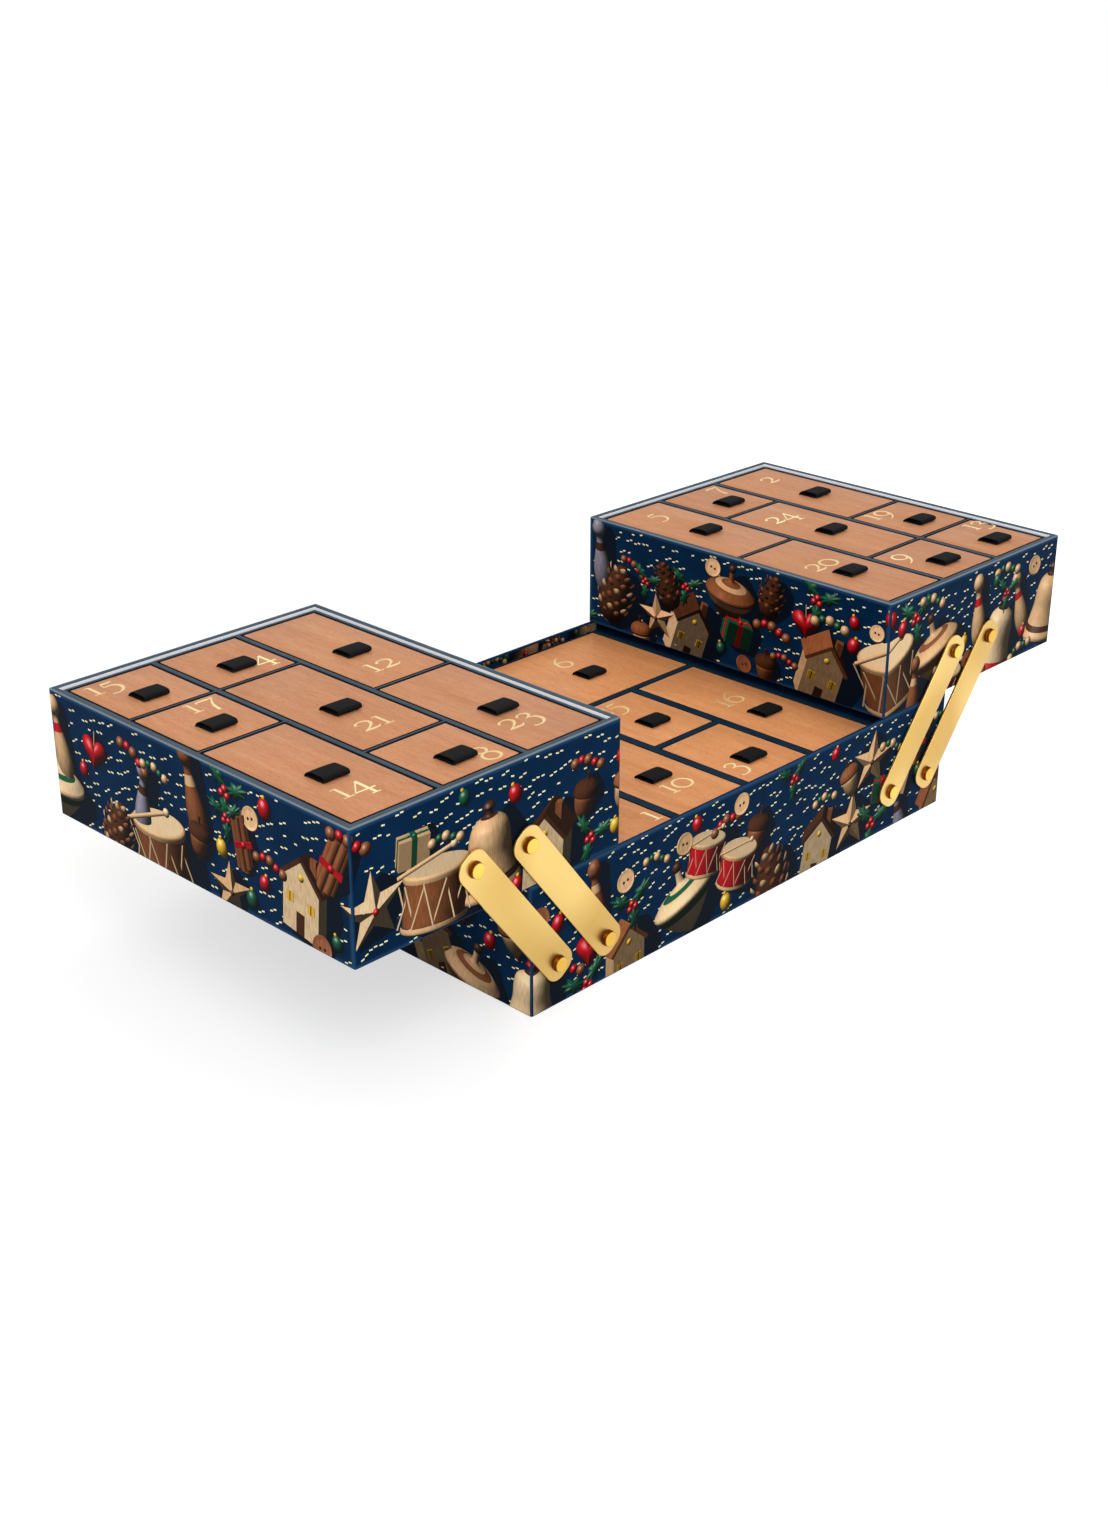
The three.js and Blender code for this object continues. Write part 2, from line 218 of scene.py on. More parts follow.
floor_material, tree, shader = new_material("white_studio_floor", Roughness=0.9)
shader.inputs["Specular IOR Level"].default_value = 0.0
paths = add(tree, "ShaderNodeLightPath")
seen = add(tree, "ShaderNodeMath", {0: paths.outputs["Is Camera Ray"], 1: paths.outputs["Is Glossy Ray"]},
           operation="MAXIMUM")
floor_place = add(tree, "ShaderNodeTexCoord").outputs["Object"]
near = add(tree, "ShaderNodeVectorMath", {0: floor_place}, operation="LENGTH")
sideways = add(tree, "ShaderNodeVectorMath", {0: floor_place, 1: TO_THE_RIGHT}, operation="DOT_PRODUCT")
bright_side = level(tree, sideways.outputs["Value"], -0.06, 0.16, FLOOR_GLOW, RIGHT_GLOW)
far_away = level(tree, near.outputs["Value"], WHITE_FROM, WHITE_BY, FLOOR_GLOW, 1.0)
clean = add(tree, "ShaderNodeMath", {0: far_away, 1: bright_side}, operation="MAXIMUM")
glow = add(tree, "ShaderNodeMath", {0: seen.outputs[0], 1: clean.outputs[0]}, operation="MULTIPLY")
shader.inputs["Emission Color"].default_value = (1, 1, 1, 1)
link(tree, glow.outputs[0], shader, "Emission Strength")
taken = add(tree, "ShaderNodeMath", {0: seen.outputs[0], 1: FLOOR_GLOW}, operation="MULTIPLY")
paper_white = level(tree, taken.outputs[0], 0.0, FLOOR_GLOW, 0.88, 1.15 * (1 - FLOOR_GLOW))
link(tree, add(tree, "ShaderNodeCombineColor", {0: paper_white, 1: paper_white, 2: paper_white}).outputs[0],
     shader, "Base Color")
floor_mesh.materials.append(floor_material)

world = bpy.data.worlds.new("studio")
scene.world = world
world.use_nodes = True
tree = world.node_tree
tree.nodes.clear()
paths = add(tree, "ShaderNodeLightPath")
camera_ray, through_ray, mirror_ray = (paths.outputs[f"Is {kind} Ray"]
                                       for kind in ("Camera", "Transmission", "Glossy"))
clear = add(tree, "ShaderNodeMath", {0: camera_ray, 1: through_ray}, operation="MAXIMUM")
seen = add(tree, "ShaderNodeMath", {0: clear.outputs[0], 1: mirror_ray}, operation="MAXIMUM")
strength = level(tree, seen.outputs[0], 0.0, 1.0, WORLD_LIGHT, 1.0)
background = add(tree, "ShaderNodeBackground", {"Color": (1, 1, 1, 1), "Strength": strength})
add(tree, "ShaderNodeOutputWorld", {"Surface": background.outputs[0]})


def soft_lamp(name, place, aim, size, power):
    """A square area lamp that points at aim."""
    data = bpy.data.lights.new(name, "AREA")
    data.shape = "SQUARE"
    data.size = size
    data.energy = power
    lamp = bpy.data.objects.new(name, data)
    scene.collection.objects.link(lamp)
    lamp.location = place
    lamp.rotation_euler = (Vector(aim) - Vector(place)).to_track_quat("-Z", "Y").to_euler()


soft_lamp("key_lamp", (-1.1, -1.3, 1.9), (0, 0, 0.05), 1.2, 21.5)
soft_lamp("side_lamp", (-1.5, -0.7, 0.95), (0.1, 0, 0.1), 0.9, 3.5)
soft_lamp("top_lamp", (0.2, 0.4, 2.0), (0, 0, 0.05), 1.6, 8)
print("studio ready")

# %% [markdown]
# ## Wrapping paper
#
# Boxes like these are greyboard wrapped in printed art paper with a satin laminate. The laminate gives a
# broad, weak shine, and the fibres under it a very fine tooth. The navy of the print is not one flat colour:
# it is slightly mottled, as ink on paper is. Two attributes of the mesh steer it: `shade` is the printed
# shadow that lies behind the printed toys, and `fold` marks the folds, where the paper is paler: partly
# rubbed ink, partly a painted highlight for the light that the folded edge catches.

# %% Navy printed paper
def wrapping_paper(name, dark, light, folded, roughness):
    """Satin laminated paper: fine tooth, soft mottling, paler folds (partly wear, partly painted highlight).
    """
    material, tree, shader = new_material(name, Roughness=roughness, Specular_IOR_Level=0.07, IOR=1.25)
    mottle = object_noise(tree, (16, 16, 16), 3.0)
    ink = ramp(tree, mottle, (0.3, dark), (0.7, light))
    grain = object_noise(tree, (0.7, 0.7, 0.7), 2.0)
    tooth = ramp(tree, grain, (0.3, "#6A6A6A"), (0.7, "#969696"))
    speckled = blend_colours(tree, "OVERLAY", 0.25, ink, tooth)
    worn_and_lit = blend_colours(tree, "MIX", attribute(tree, "fold"), speckled, folded)
    shade = level(tree, attribute(tree, "shade"), 0.0, 1.0, 0.0, 0.66)
    link(tree, blend_colours(tree, "MIX", shade, worn_and_lit, "#01060F"), shader, "Base Color")
    link(tree, level(tree, grain, 0.3, 0.7, roughness - 0.06, roughness + 0.08), shader, "Roughness")
    link(tree, bump(tree, grain, 0.3, 0.03), shader, "Normal")
    return material


navy_paper = wrapping_paper("navy_printed_paper", "#00213F", "#02294B", "#26476A", 0.5)
blue_grey_paper = wrapping_paper("blue_grey_laminated_paper", "#3F4E5C", "#4C5B68", "#74828C", 0.42)
ink_blue_paper = wrapping_paper("ink_blue_laminated_paper", "#122A3D", "#1A3549", "#31506A", 0.42)
print("papers:", navy_paper.name, blue_grey_paper.name, ink_blue_paper.name)

# %% [markdown]
# The far inner walls of the trays show a pale stripe above the lids, the sheen of their lining. So they are
# lined with a near-white satin paper: its colour is painted highlight, standing for the light they catch. The
# dividers' tops are covered in the blue-grey paper in the trays and in the darker ink-blue one in the base.
# Their sides down in the gaps take a near-black paper, which is painted shade.

# %% Lining paper with painted highlight, and board sides with painted shade
painted_highlight_lining = wrapping_paper("pale_lining_paper", "#F0F5FC", "#FAFCFF", "#FFFFFF", 0.4)
painted_shade_board = wrapping_paper("dark_board_paper", "#10161E", "#1A222C", "#2A3440", 0.6)
print("papers:", painted_highlight_lining.name, painted_shade_board.name)

# %% [markdown]
# ## Steamed beech veneer
#
# The lids look like steamed beech: an even salmon-brown ground, soft bands of tone along the board, very fine
# fibres, and the short dark pore marks that tell beech from other woods. All of it is noise stretched along
# one axis, because wood is long in the direction it grew. Each lid has its own `tone` attribute: it shifts
# the noise to another part of the plank, so that no two lids carry the same figure, and makes some a shade
# lighter. The base's lids get a higher tone, so they are lighter and warmer: partly a warmer wood of their
# own, partly painted light that lifts the shade the trays throw on them.

# %% Beech veneer
def beech_veneer():
    """Cut and sanded veneer under a thin matt oil: fibres show as streaks along Y."""
    material, tree, shader = new_material("oiled_beech_veneer", Roughness=0.5, Specular_IOR_Level=0.2)
    tone = attribute(tree, "tone")
    place = add(tree, "ShaderNodeTexCoord").outputs["Object"]

    def streaks(across_mm, along_mm, detail, warp):
        across, along = 1 / (across_mm * MM), 1 / (along_mm * MM)
        scale = add(tree, "ShaderNodeMapping", {"Vector": place, "Scale": (across, along, across)})
        shift = add(tree, "ShaderNodeMath", {0: tone, 1: 37.0}, operation="MULTIPLY")
        noise = add(tree, "ShaderNodeTexNoise",
                    {"Vector": scale.outputs[0], "W": shift.outputs[0], "Scale": 1.0, "Detail": detail,
                     "Roughness": 0.55, "Distortion": warp}, noise_dimensions="4D")
        return noise.outputs["Fac"]

    bands = streaks(9.0, 110.0, 2.0, 0.6)
    ground = ramp(tree, bands, (0.25, "#DC9E71"), (0.5, "#E5A679"), (0.75, "#EEB284"))
    fibres = streaks(0.8, 9.0, 5.0, 0.3)
    fibre_grey = ramp(tree, fibres, (0.3, "#9E9E9E"), (0.7, "#D0D0D0"))
    streaked = blend_colours(tree, "OVERLAY", 0.6, ground, fibre_grey)
    pores = streaks(0.5, 2.4, 1.0, 0.0)
    marks = level(tree, pores, 0.58, 0.72, 0.0, 0.5)
    pored = blend_colours(tree, "MIX", marks, streaked, "#A86C45")
    # The light, warm end of the tint is reached by the base's lids: partly warmer wood, partly painted light.
    tint = ramp(tree, level(tree, tone, 0.0, 2.6, 0.0, 1.0), (0.0, "#D4C9C0"), (0.3, "#DBD1C7"),
                (0.7, "#EEDEC3"), (1.0, "#F9E9CD"))
    link(tree, blend_colours(tree, "MULTIPLY", 1.0, pored, tint), shader, "Base Color")
    link(tree, level(tree, fibres, 0.3, 0.7, 0.56, 0.44), shader, "Roughness")
    link(tree, bump(tree, fibres, 0.35, 0.04), shader, "Normal")
    return material


beech = beech_veneer()
print("wood:", beech.name)

# %% [markdown]
# ## Gold
#
# The arms are stamped sheet with a satin, bead-blasted face, so they spread what they mirror. The rivets are
# turned: their faces are polished and bright, and their sides keep the lathe's fine marks. The sides are
# given a dark bronze colour, which is painted shade and painted reflection of the dark wall under the head.
# The numbers are hot-stamped foil on open-pored veneer. It follows the pores, which spreads what it mirrors
# so much that it looks like pale satin paint, so it is only a little metallic.

# %% Satin and polished gold, rivet sides with painted shade, and foil
def gold(name, code, roughness, grain_mm, dent_mm, strength, metallic=1.0):
    """Gold-coloured metal with a fine surface."""
    material, tree, shader = new_material(name, Metallic=metallic, Roughness=roughness)
    fine = object_noise(tree, (grain_mm, grain_mm, grain_mm), 2.0)
    cloud = object_noise(tree, (55, 55, 55), 0.0)
    base = blend_colours(tree, "MULTIPLY", 1.0, code, ramp(tree, cloud, (0.36, "#E6DCC8"), (0.62, "#FFFFFF")))
    link(tree, base, shader, "Base Color")
    link(tree, level(tree, fine, 0.3, 0.7, roughness - 0.04, roughness + 0.05), shader, "Roughness")
    link(tree, bump(tree, fine, strength, dent_mm), shader, "Normal")
    return material


satin_gold = gold("bead_blasted_brass", "#E7C578", 0.34, 0.5, 0.02, 0.25)
polished_gold = gold("polished_brass", "#F6CB5C", 0.14, 1.5, 0.01, 0.1)
# The rivets' sides: their dark colour is painted shade and painted reflection.
side_gold_painted_shade = gold("turned_brass_side", "#7A4410", 0.22, 1.5, 0.01, 0.1)
foil_gold = gold("hot_stamped_gold_foil", "#FFE8AC", 0.34, 0.6, 0.02, 0.3, 0.15)
print("metals:", satin_gold.name, polished_gold.name, side_gold_painted_shade.name, foil_gold.name)

# %% [markdown]
# ## Grosgrain ribbon
#
# The pulls are black grosgrain, a ribbon with ribs across its width. The ribs come from thick weft threads,
# about 0.8 mm apart on a ribbon this size. They run across the strip, so the pattern reads the strip's own UV
# map, where U runs across and V along, both in millimetres. A wave texture at scale 1 has 20 / 2 pi bands in
# one unit, so its scale is worked out from that.

# %% Black ribbon
RIB_PITCH_MM = 0.8
WAVE_BANDS = 3.183
ribbon_black, tree, shader = new_material("black_grosgrain_ribbon", Roughness=0.85, Specular_IOR_Level=0.1)
strip = add(tree, "ShaderNodeUVMap", uv_map="strip").outputs[0]
ribs = add(tree, "ShaderNodeTexWave", {"Vector": strip, "Scale": 1 / RIB_PITCH_MM / WAVE_BANDS,
                                       "Distortion": 0.4, "Detail": 1.0}, bands_direction="Y").outputs["Fac"]
threads = add(tree, "ShaderNodeTexNoise", {"Vector": strip, "Scale": 3.5, "Detail": 3.0}).outputs["Fac"]
link(tree, ramp(tree, threads, (0.3, "#0B0B0C"), (0.7, "#1A1A1C")), shader, "Base Color")
height = add(tree, "ShaderNodeMath", {0: ribs, 1: threads}, operation="ADD").outputs[0]
link(tree, bump(tree, height, 0.8, 0.25), shader, "Normal")
print("ribbon:", ribbon_black.name)

# %% [markdown]
# ## Helpers for meshes
#
# A piece made here ends as a plain mesh whose object sits at the origin, with its place in its vertices, just
# as the CAD nodes do. So there are two helpers: one makes an object of points and faces, and one bakes an
# object's modifiers into a new plain mesh.

# %% Mesh helpers
def mesh_object(name, points, faces, materials=()):
    """A new object from points in metres."""
    mesh = bpy.data.meshes.new(name)
    mesh.from_pydata([tuple(p) for p in points], [], [tuple(f) for f in faces])
    mesh.update()
    for material in materials:
        mesh.materials.append(material)
    piece = bpy.data.objects.new(name, mesh)
    scene.collection.objects.link(piece)
    return piece


def bake_modifiers(piece):
    """Replaces a piece's mesh by what its modifiers make of it, without empty material slots."""
    bpy.context.view_layer.update()
    made = bpy.data.meshes.new_from_object(piece.evaluated_get(bpy.context.evaluated_depsgraph_get()))
    for slot in reversed(range(len(made.materials))):
        if made.materials[slot] is None:
            made.materials.pop(index=slot)
    piece.modifiers.clear()
    piece.data = made
    made.name = piece.name
    return piece


def round_edges(piece, width_mm, segments=2, angle=40):
    """Rounds the edges that are sharper than angle."""
    modifier = piece.modifiers.new("edges", "BEVEL")
    modifier.width = width_mm * MM
    modifier.segments = segments
    modifier.limit_method = "ANGLE"
    modifier.angle_limit = math.radians(angle)
    return bake_modifiers(piece)


def smooth_by_angle(piece, angle=35):
    """Smooth shading, with edges over angle kept crisp."""
    piece.data.shade_smooth()
    piece.data.set_sharp_from_angle(angle=math.radians(angle))


def clean_copy(node, name):
    """A merged copy of a CAD node's mesh without the lines between faces of one plane."""
    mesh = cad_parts[node].data.copy()
    mesh.name = name
    mesh.materials.clear()
    work = bmesh.new()
    work.from_mesh(mesh)
    bmesh.ops.remove_doubles(work, verts=work.verts, dist=1e-6)
    bmesh.ops.dissolve_limit(work, angle_limit=math.radians(1), verts=work.verts, edges=work.edges)
    work.to_mesh(mesh)
    work.free()
    piece = bpy.data.objects.new(name, mesh)
    scene.collection.objects.link(piece)
    return piece


def triangles(piece):
    """How many triangles a piece has."""
    return sum(len(p.vertices) - 2 for p in piece.data.polygons)


def set_vertex_values(piece, name, values):
    """Stores one number for each vertex under a name that a material can read."""
    data = piece.data.attributes.get(name) or piece.data.attributes.new(name, "FLOAT", "POINT")
    data.data.foreach_set("value", np.asarray(values, np.float32))


def finish_piece(piece, body, slot, *nodes):
    """Says which body the piece rides on and which CAD nodes it stands for. slot is not used."""
    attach(piece, body)
    if nodes:
        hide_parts(*nodes)


print("mesh helpers ready")

# %% [markdown]
# ## The three boxes
#
# A box of wrapped greyboard is one sheet's worth of paper drawn tight over board: its folds are small rounds,
# not knife edges. So each box is lofted: one outline seen from above (straight walls, four small corner
# rounds) is carried along one profile (up the wall, over the rim, down to the floor inside). The rows and
# columns are about two millimetres apart, because the printed shadows are stored in the vertices of the wall.
# What the mesh can't say with its shape it says with the two attributes that the paper reads.

# %% Outline and profile
CORNER_MM = 1.2
FOLD_MM = 0.6
GRID_MM = 2.2
CORNER_STEPS = 4
FOLD_STEPS = 3
PLAIN_ROW = 8
WORN_AND_LIT_MM = 1.3
INK_MM = 0.16

BASE_PAPERS = (navy_paper, navy_paper, navy_paper)
# The trays' third paper, on the inner walls above the lids, is near-white: painted highlight.
TRAY_PAPERS = (navy_paper, blue_grey_paper, painted_highlight_lining)
WALLS = {
    "base_box": dict(wall=2.5, floor=3.0, finish=BASE_PAPERS, body="base"),
    "left_tray_box": dict(wall=4.0, floor=3.0, finish=TRAY_PAPERS, body="left_tray"),
    "right_tray_box": dict(wall=4.0, floor=3.0, finish=TRAY_PAPERS, body="right_tray"),
}


def box_mm(node):
    """Lowest and highest corner of a CAD node in millimetres."""
    low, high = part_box(node)
    return [v / MM for v in low], [v / MM for v in high]


def paper_box(node):
    """The box's walls, a hair inside the CAD walls, so that the ink on them ends inside the CAD box."""
    low, high = box_mm(node)
    return [low[0] + INK_MM, low[1] + INK_MM, low[2]], [high[0] - INK_MM, high[1] - INK_MM, high[2]]


def outline(low, high, inset):
    """Points round a box from its front left corner, counter-clockwise seen from above, at an inset in mm."""
    radius = max(CORNER_MM - inset, 0.12)
    x0, y0, x1, y1 = low[0] + inset, low[1] + inset, high[0] - inset, high[1] - inset
    across = max(2, round((high[0] - low[0]) / GRID_MM))
    along = max(2, round((high[1] - low[1]) / GRID_MM))
    centres = ((x0 + radius, y0 + radius), (x1 - radius, y0 + radius),
               (x1 - radius, y1 - radius), (x0 + radius, y1 - radius))
    points = []
    for side in range(4):
        turn = -math.pi / 2 + side * math.pi / 2
        start = centres[side]
        end = centres[(side + 1) % 4]
        out = (math.cos(turn) * radius, math.sin(turn) * radius)
        steps = along if side % 2 else across
        for i in range(steps):
            part = i / steps
            points.append((start[0] + (end[0] - start[0]) * part + out[0],
                           start[1] + (end[1] - start[1]) * part + out[1]))
        for i in range(CORNER_STEPS):
            angle = turn + math.pi / 2 * i / CORNER_STEPS
            points.append((end[0] + math.cos(angle) * radius, end[1] + math.sin(angle) * radius))
    return points


def wall_profile(bottom, top, wall, floor):
    """Rows of (inset, height, zone, fold): underside, outside, rim, inside and down to the floor."""
    bends = [math.pi / 2 * i / FOLD_STEPS for i in range(FOLD_STEPS + 1)]
    # The fold values make the paper paler on the folds: partly wear, partly painted highlight.
    rows = [(FOLD_MM * (1 - math.sin(a)), bottom + FOLD_MM * (1 - math.cos(a)), 0, 0.7) for a in bends]
    plain = top - bottom - 2 * FOLD_MM
    count = round(plain / GRID_MM)
    rows += [(0.0, bottom + FOLD_MM + plain * i / count, 0, 0.0) for i in range(1, count)]
    rows += [(FOLD_MM * (1 - math.cos(a)), top - FOLD_MM * (1 - math.sin(a)), 1, 0.9) for a in bends]
    rows += [(wall * 0.24, top, 1, 0.45), (wall * 0.34, top, 1, 0.0)]
    for a in bends:
        zone = 1 if a < 0.9 else 2
        rows.append((wall - FOLD_MM * (1 - math.sin(a)), top - FOLD_MM * (1 - math.cos(a)), zone, 0.1))
    inside = top - FOLD_MM - floor - bottom
    rows += [(wall, top - FOLD_MM - inside * i / 8, 2, 0.0) for i in range(1, 9)]
    return rows


def wrapped_box(node, wall, floor, finish, body):
    """One wrapped box in place of a CAD box."""
    low, high = paper_box(node)
    rows = wall_profile(low[2], high[2], wall, floor)
    rings = [outline(low, high, inset) for inset, _, _, _ in rows]
    count = len(rings[0])
    points = [(x * MM, y * MM, row[1] * MM) for row, ring in zip(rows, rings) for x, y in ring]
    faces = []
    zones = []
    for j in range(len(rows) - 1):
        for i in range(count):
            k = (i + 1) % count
            faces.append((j * count + i, j * count + k, (j + 1) * count + k, (j + 1) * count + i))
            zones.append(rows[j][2])
    faces.append(tuple(reversed(range(count))))
    zones.append(0)
    faces.append(tuple((len(rows) - 1) * count + i for i in range(count)))
    zones.append(2)
    piece = mesh_object(node.replace("_box", "_case"), points, faces, finish)
    piece.data.polygons.foreach_set("material_index", zones)
    # The vertical corners are made paler too: partly wear, partly painted highlight.
    worn_and_lit = []
    for x, y in rings[PLAIN_ROW]:
        by_corner = min(abs(y - low[1]), abs(y - high[1])) < WORN_AND_LIT_MM
        worn_and_lit.append(1.0 - min(1.0, min(abs(x - low[0]), abs(x - high[0]))) if by_corner else 0.0)
    folds = [max(row[3], 0.8 * worn_and_lit[i] if row[2] == 0 else 0.0) for row in rows for i in range(count)]
    set_vertex_values(piece, "fold", folds)
    set_vertex_values(piece, "shade", [0.0] * len(points))
    smooth_by_angle(piece, 50)
    finish_piece(piece, body, "printed_paper", node)
    return piece


cases = {node: wrapped_box(node, **settings) for node, settings in WALLS.items()}
for node, piece in cases.items():
    print(node, [round(v, 1) for v in piece.dimensions / MM], triangles(piece), "triangles")

# %% [markdown]
# ## The grids of dividers
#
# The grids hold up the lids: each compartment has a ledge just under its lid. Their shape is settled by the
# lids and is already right in the CAD model, so a copy is enough. The import left its flat faces cut in
# triangles, and edges with no roundness. Merging equal points, dissolving the lines within each plane and
# rounding what is left gives clean board edges that catch a line of light. Only the top faces wear the blue
# papers. The sides down in the gaps wear a near-black paper, which is painted shade, and the compartments
# below the lids are lined in navy.

# %% Grids and end decks
TOP_DEPTH = 0.04
LEDGE_DEPTH = 3.4


def board_grid(node, name, body, top_finish, side_finish, slot_name, rounding):
    """A rounded copy of a CAD grid: one paper on top, one in the gaps (for dividers a dark one: painted
    shade), and navy in the compartments.
    """
    piece = clean_copy(node, name)
    round_edges(piece, rounding, 2)
    for finish in (top_finish, side_finish, navy_paper):
        piece.data.materials.append(finish)
    crest = box_mm(node)[1][2] * MM
    for face in piece.data.polygons:
        depth = (crest - face.center.z) / MM
        # Faces down in the gaps take side_finish; for the dividers it is the dark paper, which is painted
        # shade.
        face.material_index = 0 if depth < TOP_DEPTH else 1 if depth < LEDGE_DEPTH else 2
    set_vertex_values(piece, "fold", [0.0] * len(piece.data.vertices))
    set_vertex_values(piece, "shade", [0.0] * len(piece.data.vertices))
    smooth_by_angle(piece, 35)
    finish_piece(piece, body, slot_name, node)
    return piece


grids = [board_grid("base_grid", "base_dividers", "base", ink_blue_paper, painted_shade_board, "blue_grey_paper", 0.6)]
for side in ("left", "right"):
    grids.append(board_grid(f"{side}_tray_grid", f"{side}_tray_dividers", f"{side}_tray", blue_grey_paper,
                            painted_shade_board, "blue_grey_paper", 0.7))
for side in ("left", "right"):
    grids.append(board_grid(f"base_end_deck_{side}", f"{side}_end_deck", "base", navy_paper, navy_paper,
                            "navy_paper", 0.5))
for piece in grids:
    print(piece.name, triangles(piece), "triangles")

# %% [markdown]
# ## Geometry Nodes for what repeats
#
# Twenty-five lids and eight arms follow one rule, and the rivets and the printed flecks further down follow
# two more. A rule belongs in a node group with named inputs: this one draws a rounded board, with or without
# a slit, and each piece only gives its numbers. A board is drawn as curves first. Filling a curve gives a
# sheet, extruding the sheet gives its top and sides, and the sheet itself, turned over, closes the underside.

# %% The rounded board group
def start_group(name, **inputs):
    """A node group that makes geometry. Inputs are name=(socket type, default)."""
    tree = bpy.data.node_groups.new(name, "GeometryNodeTree")
    tree.interface.new_socket("Geometry", in_out="OUTPUT", socket_type="NodeSocketGeometry")
    for label, (kind, value) in inputs.items():
        socket = tree.interface.new_socket(label.replace("_", " "), in_out="INPUT",
                                           socket_type="NodeSocket" + kind)
        if value is not None:
            socket.default_value = value
    return tree, tree.nodes.new("NodeGroupInput").outputs


def end_group(tree, geometry, material):
    """Realizes what is left as instances, gives it its material and closes the group."""
    real = add(tree, "GeometryNodeRealizeInstances", {0: geometry})
    painted = add(tree, "GeometryNodeSetMaterial", {"Geometry": real.outputs[0], "Material": material})
    out = tree.nodes.new("NodeGroupOutput")
    tree.links.new(painted.outputs[0], out.inputs[0])


def run_group(name, tree, **values):
    """A new piece made by a group. Each input is set by its identifier, before the first evaluation."""
    piece = mesh_object(name, [], [])
    modifier = piece.modifiers.new("rule", "NODES")
    modifier.node_group = tree
    names = {item.name: item.identifier for item in tree.interface.items_tree if item.in_out == "INPUT"}
    for label, value in values.items():
        modifier[names[label.replace("_", " ")]] = value
    return piece


board_rule, given = start_group("rounded_board", Centre=("Vector", (0, 0, 0)), Turn=("Vector", (0, 0, 0)),
                                Width=("Float", 0.05), Length=("Float", 0.05), Thickness=("Float", 0.002),
                                Corner=("Float", 0.001), Slit_Width=("Float", 0.0),
                                Slit_Length=("Float", 0.002), Slit_Place=("Vector", (0, 0, 0)),
                                Material=("Material", None))
edge = add(board_rule, "GeometryNodeCurvePrimitiveQuadrilateral",
           {"Width": given["Width"], "Height": given["Length"]})
rounded = add(board_rule, "GeometryNodeFilletCurve",
              {"Curve": edge.outputs[0], "Radius": given["Corner"], "Count": 8}, mode="POLY")
slit = add(board_rule, "GeometryNodeCurvePrimitiveQuadrilateral",
           {"Width": given["Slit Width"], "Height": given["Slit Length"]})
slit_placed = add(board_rule, "GeometryNodeTransform",
                  {"Geometry": slit.outputs[0], "Translation": given["Slit Place"]})
has_slit = add(board_rule, "FunctionNodeCompare", {0: given["Slit Width"], 1: 0.0001},
               operation="GREATER_THAN")
chosen = add(board_rule, "GeometryNodeSwitch",
             {"Switch": has_slit.outputs[0], "True": slit_placed.outputs[0]}, input_type="GEOMETRY")
both = add(board_rule, "GeometryNodeJoinGeometry", {0: rounded.outputs[0]})
board_rule.links.new(chosen.outputs[0], both.inputs[0])
sheet = add(board_rule, "GeometryNodeFillCurve", {"Curve": both.outputs[0]})
flipped = add(board_rule, "GeometryNodeFlipFaces", {"Mesh": sheet.outputs[0]})
lift = add(board_rule, "ShaderNodeCombineXYZ", {2: given["Thickness"]})
raised = add(board_rule, "GeometryNodeExtrudeMesh",
             {"Mesh": sheet.outputs[0], "Offset": lift.outputs[0], "Offset Scale": 1.0, "Individual": False})
halves = add(board_rule, "GeometryNodeJoinGeometry", {0: flipped.outputs[0]})
board_rule.links.new(raised.outputs[0], halves.inputs[0])
welded = add(board_rule, "GeometryNodeMergeByDistance", {"Geometry": halves.outputs[0], "Distance": 1e-6})
placed = add(board_rule, "GeometryNodeTransform",
             {"Geometry": welded.outputs[0], "Translation": given["Centre"], "Rotation": given["Turn"]})
end_group(board_rule, placed.outputs[0], given["Material"])
print("rule:", board_rule.name, "with", len(board_rule.nodes), "nodes")


def closed_outward(piece):
    """Turns every face of a baked piece outward and tells how many edges are open."""
    work = bmesh.new()
    work.from_mesh(piece.data)
    bmesh.ops.dissolve_limit(work, angle_limit=math.radians(0.5), verts=work.verts, edges=work.edges)
    bmesh.ops.recalc_face_normals(work, faces=work.faces)
    open_edges = sum(1 for e in work.edges if len(e.link_faces) != 2)
    work.to_mesh(piece.data)
    work.free()
    return open_edges


# %% [markdown]
# ## Twenty-five lids
#
# A lid is a cut rectangle of veneered board with a slit for the ribbon. Cutting leaves its edges sharp, and a
# pass of sandpaper takes a quarter of a millimetre off them. Every lid's size comes from its CAD node; the
# ribbon's place comes from the node too, as the only part that stands higher than the board.

# %% Lids
LID_THICK = 2.5
LID_CORNER = 0.6
RIBBON_WIDTH = 16.5
RIBBON_LENGTH = 14.0
RIBBON_TAIL = 2.6
SLIT_LENGTH = 1.6
SLIT_PLAY = 0.6
BASE_LIDS_BELOW = 100.0
TONE_SPREAD = 0.8
BASE_TONE_AND_LIGHT = 1.8

